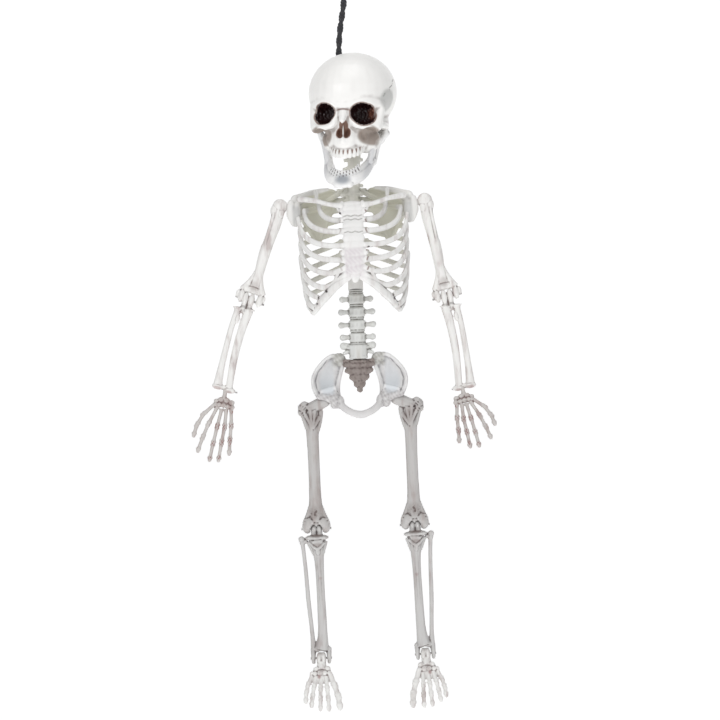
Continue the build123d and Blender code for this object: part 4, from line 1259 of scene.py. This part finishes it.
pelvis = fuse("pelvis", both(wing), 0.45, 5)
carve(pelvis, both(lambda s: [knob((s * 22.3, 0, -283.4), (5.2, 5.2, 5.2))]), 0.4)
at = spots(pelvis)
out = np.abs(at[:, 0])
rim_x = np.interp(
    -at[:, 2], [254.8, 258.9, 265.6, 270.7, 275.5, 280.6], [15.3, 21.6, 27.2, 28.9, 28.3, 25.9]
)
in_wing = band(out, 14.5, 17) * band(-at[:, 2], 256.5, 259) * (1 - band(-at[:, 2], 279, 281))
gap = np.abs(rim_x - out - 2.1)
groove = (1 - band(gap, 0.15, 0.5)) * in_wing * (0.6 + 0.4 * np.sin(at[:, 2] * 1.3))
groove = groove * (1 - band(at[:, 1], 7, 11))
dish = in_wing * (1 - band(out - rim_x, -6.0, -2.2))
move_out(pelvis, -0.25 * groove)
keep_mask(pelvis, "line", groove * 0.55)
keep_mask(pelvis, "dish", dish * (0.35 + 0.65 * band(-at[:, 2], 262, 276)))
ring_wash = (1 - band(out, 12, 15)) * band(-at[:, 2], 272, 280)
rough = np.sin(at[:, 0] * 1.7 + np.sin(at[:, 1] * 1.9)) * np.sin(at[:, 2] * 1.9 + at[:, 0])
hip_wash = band(out, 11, 13) * band(-at[:, 2], 277, 281) * (1 - band(-at[:, 2], 288, 291))
keep_mask(pelvis, "bruise_and_shade", np.maximum(ring_wash * 0.35, hip_wash * (0.6 + 0.3 * rough)))
corner = (1 - band(out, 14, 18)) * (1 - band(-at[:, 2], 261, 264))
keep_mask(pelvis, "corner", corner * (0.7 + 0.3 * rough))
move_out(pelvis, 0.12 * rough * np.maximum(corner, hip_wash))
mark_hollows(pelvis, 7, 30, 0.35)
sacrum = fuse("sacrum", [
    knob((0, 9.2, -262.0), (10.2, 4.4, 2.6)),
    knob((0, 10.2, -265.6), (9.0, 4.2, 3.2)),
    knob((0, 11.0, -269.4), (6.4, 3.6, 3.6)),
    knob((0, 10.8, -273.6), (3.8, 2.8, 3.4)),
    knob((0, 10.0, -277.2), (1.9, 1.9, 2.2)),
    strand([(-9.6, 8.6, -259.6, 1.2), (0, 7.2, -260.2, 1.3), (9.6, 8.6, -259.6, 1.2)]),
    strand([(0, 14, -262, 1.6), (0, 15.4, -270, 1.2)], 0.6),
    knob((0, 7.5, -260.0), (5.2, 4.4, 1.4)),
], 0.4, 1)
at = spots(sacrum)
pits = np.sin(at[:, 0] * 1.9 + np.sin(at[:, 2] * 1.3)) * np.sin(at[:, 2] * 2.0 + 0.7 * at[:, 0])
bars = np.sin(at[:, 2] * 2.05) * (1 - band(np.abs(at[:, 0]), 3.4, 5.0))
move_out(sacrum, 0.16 * pits + 0.1 * bars)
mark_hollows(sacrum, 6, 16)
pelvis_white = bone_material(
    "pelvis_white", (0.88, 0.87, 0.865), (0.30, 0.285, 0.30), (0.66, 0.64, 0.65), 0.85, 0.5
)
paint_over(pelvis_white, "dish", (0.74, 0.77, 0.80))
paint_over(pelvis_white, "corner", (0.42, 0.41, 0.37))
paint_over(pelvis_white, "bruise_and_shade", (0.40, 0.38, 0.38))
paint_over(pelvis_white, "line", (0.36, 0.35, 0.36))
sacrum_brown = bone_material(
    "sacrum_brown", (0.31, 0.265, 0.245), (0.10, 0.07, 0.065), (0.24, 0.195, 0.18), 0.7, 1.0
)
finish_piece(pelvis, row, "pelvis", pelvis_white, "bone_plastic", "pelvis")
finish_piece(sacrum, row, "pelvis", sacrum_brown, "bone_plastic", "sacrum")

# ---------------------------------------------------------------- arms
# Each bone is shaped once in its own frame, x outwards and z up from its upper joint, then placed
# on both sides. The upper arm ends in a fork and the forearm brings a tongue with two lobes into it.
limb_white = bone_material(
    "limb_white", (0.86, 0.85, 0.83), (0.24, 0.20, 0.19), (0.57, 0.51, 0.495), 1.0, 0.9
)
paint_over(limb_white, "pit", (0.33, 0.27, 0.25))
paint_over(limb_white, "rust", (0.25, 0.085, 0.08))
paint_over(limb_white, "line", (0.17, 0.15, 0.14))
# leg, hand and shin plastics paint their raised parts whiter, a painted highlight
leg_grey = bone_material(
    "leg_grey", (0.54, 0.525, 0.515), (0.13, 0.105, 0.10), (0.43, 0.385, 0.37), 1.1, 0.9, ridge_highlight=1.0
)
hand_tan = bone_material(
    "hand_tan", (0.60, 0.57, 0.55), (0.20, 0.14, 0.13), (0.44, 0.36, 0.34), 1.1, 0.9, ridge_highlight=0.8
)
shin_grey = bone_material(
    "shin_grey", (0.60, 0.59, 0.58), (0.15, 0.125, 0.12), (0.47, 0.43, 0.42), 1.0, 0.9, ridge_highlight=1.0
)
for tone in (leg_grey, shin_grey, hand_tan):
    paint_over(tone, "pit", (0.24, 0.19, 0.175))
    paint_over(tone, "rust", (0.25, 0.085, 0.08))
    paint_over(tone, "line", (0.13, 0.12, 0.11))
SIDES = (("left", 1), ("right", -1))


def limb_frame(side, start, end):
    """A bone's frame at its upper joint: z points back up from the next joint, x points outwards."""
    s = dict(SIDES)[side]
    top, low = Vector(joints[f"{start}_{side}"]["pos_m"]), Vector(joints[f"{end}_{side}"]["pos_m"])
    up = (top - low).normalized()
    out = Vector((0, 1, 0)).cross(up) * s
    return Matrix((
        (out.x, 0, up.x, top.x), (out.y, 1, up.y, top.y), (out.z, 0, up.z, top.z), (0, 0, 0, 1)
    ))


def at_joint(side, name, frame):
    """The same turn as a frame, at another joint."""
    moved = frame.copy()
    moved.translation = Vector(joints[f"{name}_{side}"]["pos_m"])
    return moved


def pitch(degrees):
    return Matrix.Rotation(math.radians(degrees), 4, "X")


def place_pair(model, name, frames, material, *hidden):
    """Copies a model to both sides, on the body and for the node of that name, and drops the model."""
    for side, _ in SIDES:
        bone = model.copy()
        bone.data = model.data.copy()
        bone.name = f"{name}_{side}_bone"
        bpy.context.collection.objects.link(bone)
        nodes = [f"{node}_{side}" for node in (name, *hidden)]
        finish_piece(bone, frames[side], f"{name}_{side}", material, "bone_plastic", *nodes)
    bpy.data.objects.remove(model)


def knuckled(points, thick, knuckle):
    """A finger or toe: slim bars, a doubled knuckle at each inner joint, and a long rounded tip."""
    lumps = []
    joints_at = [Vector(p) for p in points]
    for i, (a, b) in enumerate(zip(joints_at, joints_at[1:])):
        along = (b - a).normalized()
        lumps.append(strand([(*a, thick * 1.1), (*a.lerp(b, 0.5), thick * 0.8), (*b, thick * 1.1)]))
        lumps.append(knob(b - along * 1.0, (knuckle, knuckle * 0.95, knuckle * 0.8)))
        if i + 2 < len(points):
            lumps.append(knob(b + along * 1.0, (knuckle * 0.95, knuckle * 0.9, knuckle * 0.75)))
    lumps.append(knob(joints_at[-1], (thick * 1.05, thick, thick * 1.5)))
    return lumps


def near(places, x, z, half_x, half_z, front=-50.0):
    """1 at a spot on the front of a piece, fading to 0 at its edge."""
    return (1 - band(
        ellipse_at(places, x, z, half_x, half_z), 0.4, 1.05
    )) * (1 - band(places[:, 1], front, front + 1.5))


upper_arm = fuse("upper_arm", [
    knob((-0.2, 0, 1.4), (4.7, 4.4, 4.7)),
    knob((1.6, -0.6, -1.6), (3.3, 3.2, 4.2)),
    knob((-1.9, -1.4, -2.6), (2.4, 2.6, 3.8)),
    strand([
        (-0.2, 0, -1, 4.0), (-0.8, 0, -9, 3.9), (-0.3, 0, -19, 3.5), (0, 0, -29, 3.5),
        (-0.3, 0, -38, 3.15), (-0.4, 0, -46, 3.3), (-0.4, 0, -50, 3.3)
    ]),
    strand([(1.8, -2.6, -4, 1.0), (2.0, -3.0, -14, 0.9), (1.4, -3.0, -24, 0.5)]),
    strand([(2.0, 0, -24, 1.6), (1.8, 0, -31, 2.1), (1.6, 0, -38, 1.4)]),
    *both(lambda s: [
        strand([(0.6 * s, 0, -40, 2.2), (2.2 * s, 0, -47.5, 2.1), (6.6 * s, -0.2, -54, 2.3)]),
        knob((5.8 * s, -0.2, -57.6), (2.1, 4.0, 4.1)),
        knob((4.6 * s, -1.0, -52.4), (2.0, 1.8, 2.6)),
    ]),
    knob((8.0, 0, -56.6), (1.6, 2.6, 2.6)),
    knob((-7.8, 0, -56.2), (1.3, 2.0, 2.2)),
    strand([(-4, 0, -52.4, 2.4), (4, 0, -52.4, 2.4)]),
], 0.38, 2)
carve(upper_arm, [*both(lambda s: [knob((1.7 * s, -0.3, -59.2), (2.1, 7.0, 4.8))])], 0.4)
at = spots(upper_arm)
keep_mask(upper_arm, "pit", near(at, 0, -50.0, 3.0, 4.6, -1.6) * 0.4)
mark_hollows(upper_arm, 6, 30, 0.55)

forearm = fuse("forearm", [
    *both(lambda s: [
        knob((1.85 * s, 0, 0.1), (2.0, 4.2, 4.5)),
        strand([(1.8 * s, 0, -2, 1.7), (1.9 * s, 0, -6, 1.8)])
    ]),
    knob((4.9, 0, -6.0), (3.3, 3.0, 0.85)),
    knob((-2.4, 0, -5.8), (3.5, 3.0, 0.85), (0, 8, 0)),
    knob((4.6, 0, -7.0), (2.5, 2.4, 0.9)),
    strand([(1.9, 0, -5.6, 1.6), (1.0, 0, -8.4, 2.0)]),
    strand([
        (4.7, 0, -7, 2.2), (5.4, 0, -12, 1.9), (6.0, 0, -20, 1.9), (6.0, 0, -34, 2.0),
        (5.9, 0, -46, 2.2), (5.4, 0, -54, 2.9)
    ]),
    knob((3.6, -0.6, -12.6), (1.5, 1.4, 3.2)),
    strand([
        (-2.0, 0, -6.4, 3.1), (-1.2, 0, -12, 2.8), (-0.4, 0, -22, 2.6), (-0.2, 0, -34, 2.5),
        (-1.0, 0, -46, 2.3), (-1.8, 0, -54.6, 2.3)
    ]),
    knob((5.2, 0, -55.6), (3.6, 2.6, 2.0)),
    knob((-2.8, 0, -56.2), (3.3, 2.3, 1.9)),
    strand([(3, 0, -55.0, 1.3), (-1, 0, -55.4, 1.3)]),
], 0.38, 2)
at = spots(forearm)
ends = near(at, 5.2, -56.4, 3.6, 1.3, -0.5) + near(at, -2.4, -57.2, 2.6, 1.1, -0.5)
keep_mask(forearm, "rust", ends * 0.45)
keep_mask(forearm, "pit", 0.6 * near(at, 2.0, -9.0, 1.6, 3.0, 2))
keep_mask(forearm, "line", 0.5 * near(at, 1.6, -4.4, 2.6, 1.0, 2))
mark_hollows(forearm, 6, 30, 0.55)

FINGERS = [
    ((4.4, 0.2, -8.2), (10.9, -1.2, -15.9), (13.9, -1.8, -23.0), (15.0, -2.4, -29.6)),
    ((3.4, 0.2, -10.6), (7.2, -0.8, -21.6), (9.4, -1.6, -30.2), (11.0, -3.0, -38.6)),
    ((0.6, 0.2, -11.4), (1.7, -0.8, -22.4), (2.6, -1.7, -33.0), (3.2, -3.2, -43.0)),
    ((-2.2, 0.2, -11.2), (-2.8, -0.8, -22.0), (-2.4, -1.6, -31.6), (-2.2, -3.0, -42.4)),
    ((-5.2, 0.2, -10.6), (-6.6, -0.7, -20.6), (-7.2, -1.4, -29.6), (-8.0, -2.6, -37.6)),
]
hand_lumps = [
    strand([(0, 0, 0.4, 1.3), (0, 0, -3.4, 1.25), (0.3, 0, -5.4, 1.7)]),
    knob((0, 0, 0), (1.5, 1.9, 1.9)),
    knob((0, 0.4, -7.8), (5.8, 1.5, 2.7)),
]
for x, z, r in (
    (-4.8, -6.9, 1.9), (-1.6, -5.9, 2.0), (1.9, -5.9, 1.9), (4.6, -7.0, 1.6), (-5.6, -9.6, 1.6),
    (-2.9, -9.6, 1.7), (-0.2, -9.2, 1.7), (2.4, -9.0, 1.6), (4.4, -9.3, 1.5),
):
    hand_lumps.append(knob((x, 0, z), (r, 2.1, r * 0.86)))
for i, finger in enumerate(FINGERS):
    hand_lumps += knuckled(finger, 1.2 if i else 1.25, 1.7)
hand = fuse("hand", hand_lumps, 0.34, 1)
at = spots(hand)
speckle = band(np.sin(at[:, 0] * 3.7 + np.sin(at[:, 2] * 2.2)) * np.sin(at[:, 2] * 2.9), -0.1, 0.5)
reds = sum(near(at, x, z, 1.9, half, 1.0) for x, z, half in (
    (1.7, -22.4, 3.2), (-2.7, -22.4, 3.4), (-6.7, -21.0, 2.2), (2.5, -33.2, 2.2),
    (-2.4, -32.2, 3.0), (-7.2, -30.6, 4.2), (-6.4, -12.6, 1.6), (3.2, -42.0, 1.6),
    (-2.2, -41.0, 2.0),
))
keep_mask(hand, "rust", reds * speckle)
mark_hollows(hand, 6, 24, 0.3)

LEFT_HAND_LENGTH = 0.965  # it points a little towards the viewer and looks shorter
RIGHT_HAND_TURN = 6.0
arm_frames = {side: limb_frame(side, "shoulder_swing", "elbow") for side, _ in SIDES}
forearm_frames = {side: limb_frame(side, "elbow", "wrist") for side, _ in SIDES}
hand_frames = {
    "left": (
        at_joint("left", "wrist", forearm_frames["left"])
        @ pitch(-28.0)
        @ Matrix.Scale(LEFT_HAND_LENGTH, 4, (0, 0, 1))
    ),
    "right": at_joint("right", "wrist", forearm_frames["right"]) @ pitch(-4.0),
}
forearm_frames["right"] = forearm_frames["right"] @ Matrix.Translation((1.0 * MM, 0, 0))
# The right hand turns its fingertips in towards the thigh.
hand_frames["right"] = (
    hand_frames["right"]
    @ Matrix.Translation((0.9 * MM, 0, -0.4 * MM))
    @ Matrix.Rotation(math.radians(RIGHT_HAND_TURN), 4, "Y")
)
place_pair(upper_arm, "upper_arm", arm_frames, limb_white, "shoulder_pin")
place_pair(forearm, "forearm", forearm_frames, limb_white)
place_pair(hand, "hand", hand_frames, hand_tan)

# ---------------------------------------------------------------- legs
# The thigh stands a little outside its hip, with a rough head and forked ridges below it.
# The knee is a fork of two rounded ends, and the ankle a square arch round the foot's tongue.
KNEE_X, KNEE_Z = 7.7, -77.6
thigh = fuse("thigh", [
    knob((-0.2, 0, 0), (3.9, 3.9, 3.9)),
    strand([(0.2, 0, -0.4, 3.9), (5.0, 0, -2.8, 3.9), (9.6, 0, -5.4, 4.4)]),
    knob((12.6, 0.4, -4.6), (3.4, 3.8, 4.2), (0, 18, 0)),
    knob((12.0, 0, -1.8), (2.6, 3.0, 2.2)),
    knob((14.4, 0, -6.4), (1.7, 2.8, 2.4)),
    strand([(12.6, -0.6, -6, 2.6), (12.0, -0.6, -9.6, 2.2), (9.8, 0, -16, 2.6)]),
    strand([(2.6, 0.6, -5.6, 2.2), (3.4, 0, -11.6, 2.6), (5.6, 0, -18, 2.4)]),
    strand([
        (7.7, 0, -6, 4.4), (7.7, 0, -13, 4.3), (7.7, 0, -22, 3.75), (7.6, 0, -34, 3.6),
        (7.6, 0, -48, 3.6), (7.7, 0, -60, 3.85), (7.5, 0, -68, 4.5), (7.6, 0, -73, 5.0)
    ]),
    strand([
        (12.6, -3.0, -5.6, 1.0), (10.6, -4.0, -10, 0.9), (8.0, -4.2, -15.0, 0.8),
        (7.6, -3.4, -21, 0.5)
    ]),
    strand([(8.6, -3.6, -4.4, 0.9), (8.4, -4.3, -9.6, 0.8), (7.6, -4.2, -15, 0.7)]),
    strand([(3.0, -1.8, -9.6, 1.1), (5.0, -3.8, -13.4, 0.9), (7.2, -4.2, -16.4, 0.7)]),
    strand([(5.6, -3.4, -5.6, 0.8), (6.0, -4.2, -10.6, 0.8), (7.4, -4.2, -15.4, 0.6)]),
    *both(lambda s: [
        strand([
            (KNEE_X + 1.5 * s, 0, -62, 2.4), (KNEE_X + 3.4 * s, 0, -69, 2.6),
            (KNEE_X + 6.0 * s, 0, -74.5, 2.8)
        ]),
        knob((KNEE_X + 5.6 * s, 0, -76.0), (3.1, 4.6, 4.4)),
        knob((KNEE_X + 4.4 * s, -2.2, -74.0), (2.8, 3.0, 3.4), (0, -20 * s, 0)),
        strand([
            (KNEE_X + 8.0 * s, -2.2, -73.0, 0.9), (KNEE_X + 5.4 * s, -4.2, -75.6, 0.9),
            (KNEE_X + 1.6 * s, -4.6, -73.6, 0.9)
        ]),
        strand([
            (KNEE_X + 7.6 * s, -2.0, -72.0, 0.8), (KNEE_X + 4.6 * s, -3.8, -71.4, 0.8),
            (KNEE_X + 1.8 * s, -4.6, -73.6, 0.9)
        ]),
    ]),
    strand([
        (KNEE_X - 4.0, -1.4, -73.2, 2.6), (KNEE_X, -2.2, -73.6, 2.4),
        (KNEE_X + 4.0, -1.4, -73.2, 2.6)
    ]),
], 0.42, 2)
carve(thigh, [
    *both(lambda s: [knob((KNEE_X + 1.7 * s, -0.2, KNEE_Z - 0.8), (2.1, 8.0, 3.9))]),
    knob((KNEE_X, -6.2, -67.4), (2.2, 2.4, 4.4)),
], 0.42)
at = spots(thigh)
wrinkle = np.sin(at[:, 0] * 2.0 + np.sin(at[:, 2] * 1.7)) * np.sin(at[:, 2] * 1.9 + 0.8 * at[:, 0])
rough = near(at, 13.2, -4.6, 4.6, 5.4, 20) + 0.6 * near(at, 7.7, -68.0, 4.5, 4.5, 0)
move_out(thigh, 0.3 * wrinkle * rough)
pits = near(at, KNEE_X, -67.6, 4.0, 6.0, -2) * 0.35 + near(at, KNEE_X, -78.2, 5.6, 1.9, 2) * 0.7
pits = pits + near(at, 6.4, -11.0, 4.6, 5.4, -1.5) * 0.35
keep_mask(thigh, "pit", pits + 0.25 * rough * band(wrinkle, 0.0, 0.6))
keep_mask(thigh, "rust", near(at, KNEE_X, -82.0, 3.4, 1.6, 2) * 0.4)
mark_hollows(thigh, 7, 30, 0.5)

shin = fuse("shin", [
    *both(lambda s: [
        knob((1.7 * s, 0, -0.2), (1.75, 3.0, 2.9)),
        strand([(1.7 * s, 0, -1, 1.7), (2.0 * s, 0, -6, 1.9)])
    ]),
    knob((-0.1, 0, -5.6), (7.2, 4.6, 1.7)),
    *both(lambda s: [
        knob((-0.1 + 3.7 * s, -0.4, -5.4), (3.5, 4.4, 1.5)),
        strand([(s * 4.6, 0, -7.4, 2.2), (s * 1.8 - 0.6, 0, -15, 2.2)])
    ]),
    strand([
        (-0.1, 0, -7, 5.2), (-0.5, 0, -12, 4.0), (-1.0, 0, -20, 2.9), (-1.1, 0, -36, 2.6),
        (-1.4, 0, -52, 2.85), (-1.5, 0, -64, 3.0), (-0.9, 0, -71, 4.0), (-0.4, 0, -73.4, 4.6)
    ]),
    strand([
        (-4.8, -3.2, -8.4, 0.6), (-2.4, -4.2, -11.0, 0.7), (0, -4.2, -12.4, 0.9),
        (2.4, -4.0, -10.8, 0.7), (4.8, -3.0, -8.2, 0.6)
    ]),
    knob((-0.3, -3.6, -13.2), (1.4, 1.2, 2.4)),
    strand([(-0.6, -2.6, -15, 0.9), (-1.1, -2.6, -36, 0.6), (-1.3, -2.4, -56, 0.4)]),
    knob((9.4, 0.6, -6.2), (2.0, 2.0, 1.9)),
    knob((9.0, 0.6, -8.4), (1.7, 1.7, 1.8)),
    strand([(6.0, 0.4, -7.6, 1.3), (9.0, 0.6, -7.6, 1.4)]),
    strand([
        (9.0, 0.6, -8, 1.5), (8.5, 0.6, -12, 1.25), (7.3, 0.5, -28, 1.3), (6.7, 0.4, -43, 1.45),
        (5.4, 0.2, -58, 1.35), (4.7, 0, -68, 1.4), (4.6, 0, -72, 1.8)
    ]),
    strand([(-4.6, 0, -73.4, 2.0), (-0.2, 0, -73.0, 2.2), (4.4, 0, -73.4, 2.0)]),
    *both(lambda s: rounded([
        (s * 4.6, 0, -73.6, 1.9), (s * 5.0, 0, -77.6, 1.5), (s * 4.8, 0, -81.4, 1.2)
    ])),
    *both(lambda s: [knob((s * 4.85, 0, -77.0), (1.45, 3.2, 4.2))]),
], 0.38, 2)
carve(shin, [knob((0, 0, -79.4), (3.45, 7.5, 5.1)), knob((0, -1.0, -83), (3.4, 7.5, 6.0))], 0.4)
at = spots(shin)
keep_mask(shin, "pit", near(at, 0, -4.2, 5.4, 1.1, 2) * 0.7 + near(at, 0, -9.6, 3.6, 1.6, -1.5) * 0.5)
arch = near(at, 0, -75.2, 4.6, 1.3, 1)
keep_mask(shin, "line", arch * 0.5)
keep_mask(shin, "rust", near(at, -1.4, -30.0, 1.4, 1.2, 0) * 0.3)
mark_hollows(shin, 6, 30, 0.5)

TOES = [
    ((-5.2, 0, -11.4), (-7.6, -0.3, -18.0), (-9.6, -0.2, -25.0), (-10.4, 0.2, -31.4)),
    ((-2.6, -0.3, -12.4), (-3.1, -0.5, -20.0), (-3.5, -0.3, -26.2), (-3.8, 0.4, -32.6)),
    ((0.4, -0.3, -12.4), (0.9, -0.5, -19.8), (1.1, -0.2, -26.0), (1.3, 0.5, -32.2)),
    ((3.6, -0.2, -12.2), (4.9, -0.3, -18.6), (5.9, 0, -24.4), (6.6, 0.7, -29.8)),
    ((6.2, 0, -11.4), (8.4, 0, -16.8), (9.6, 0.3, -21.8), (10.1, 0.9, -27.0)),
]
foot_lumps = [
    *both(lambda s: [knob((1.4 * s, 0, -0.4), (1.6, 4.0, 4.0))]),
    knob((0, 0, 0.2), (2.9, 3.6, 3.4)),
    strand([(0, 0, -1, 2.9), (0, 0.4, -4.6, 2.8), (0, 0.2, -8, 3.2)]),
    knob((0, 6.0, -5.4), (3.2, 3.6, 3.4)),
    strand([(0, 2, -3.6, 2.6), (0, 6, -5.2, 2.8)]),
    knob((0, 0.3, -9.0), (5.8, 2.1, 4.2)),
    knob((0.6, 0.1, -13.0), (7.4, 1.5, 3.6)),
]
for x, z, r in (
    (-3.6, -7.2, 1.9), (0, -6.6, 2.0), (3.4, -7.4, 1.8), (-4.8, -10.4, 1.7), (-1.8, -10.2, 1.7),
    (1.2, -10.2, 1.6), (4.2, -10.4, 1.6), (6.2, -10.0, 1.3)
):
    foot_lumps.append(knob((x, -0.6, z), (r, 1.9, r * 0.9)))
for i, toe in enumerate(TOES):
    foot_lumps += knuckled(toe, 1.3 if i else 1.8, 1.7 if i else 2.25)
foot = fuse("foot", foot_lumps, 0.34, 3)
at = spots(foot)
keep_mask(foot, "rust", near(at, 1.6, -12.6, 1.3, 1.6, 1) * 0.6)
mark_hollows(foot, 6, 24, 0.5)

thigh_frames = {
    side: Matrix.Translation(joints[f"hip_swing_{side}"]["pos_m"]) @ Matrix.Scale(s, 4, (1, 0, 0)) for side,
    s in SIDES
}
shin_frames = {side: limb_frame(side, "knee", "ankle") for side, s in SIDES}
foot_frames = {side: at_joint(side, "ankle", shin_frames[side]) @ pitch(-30.0) for side, s in SIDES}
place_pair(thigh, "thigh", thigh_frames, leg_grey, "hip_pin")
place_pair(shin, "shin", shin_frames, shin_grey)
place_pair(foot, "foot", foot_frames, limb_white)

# ---------------------------------------------------------------- swivels
# Short moulded studs that turn in the trunk and carry the ball of each arm and thigh.
for joint, reach in (("shoulder", 9.4), ("hip", 9.0)):
    stud = fuse(
        f"{joint}_stud",
        [knob((0, 0, 0), (2.9, 2.4, 2.9)), strand([(0, 0, 0, 1.5), (-reach, 0, 0, 1.5)])], 0.35, 1
    )
    mark_hollows(stud, 4, 10)
    frames = {
        side: Matrix.Translation(joints[f"{joint}_swing_{side}"]["pos_m"]) @ Matrix.Scale(s, 4, (1, 0, 0))
        for side, s in SIDES
    }
    place_pair(stud, f"{joint}_swivel", frames, limb_white)
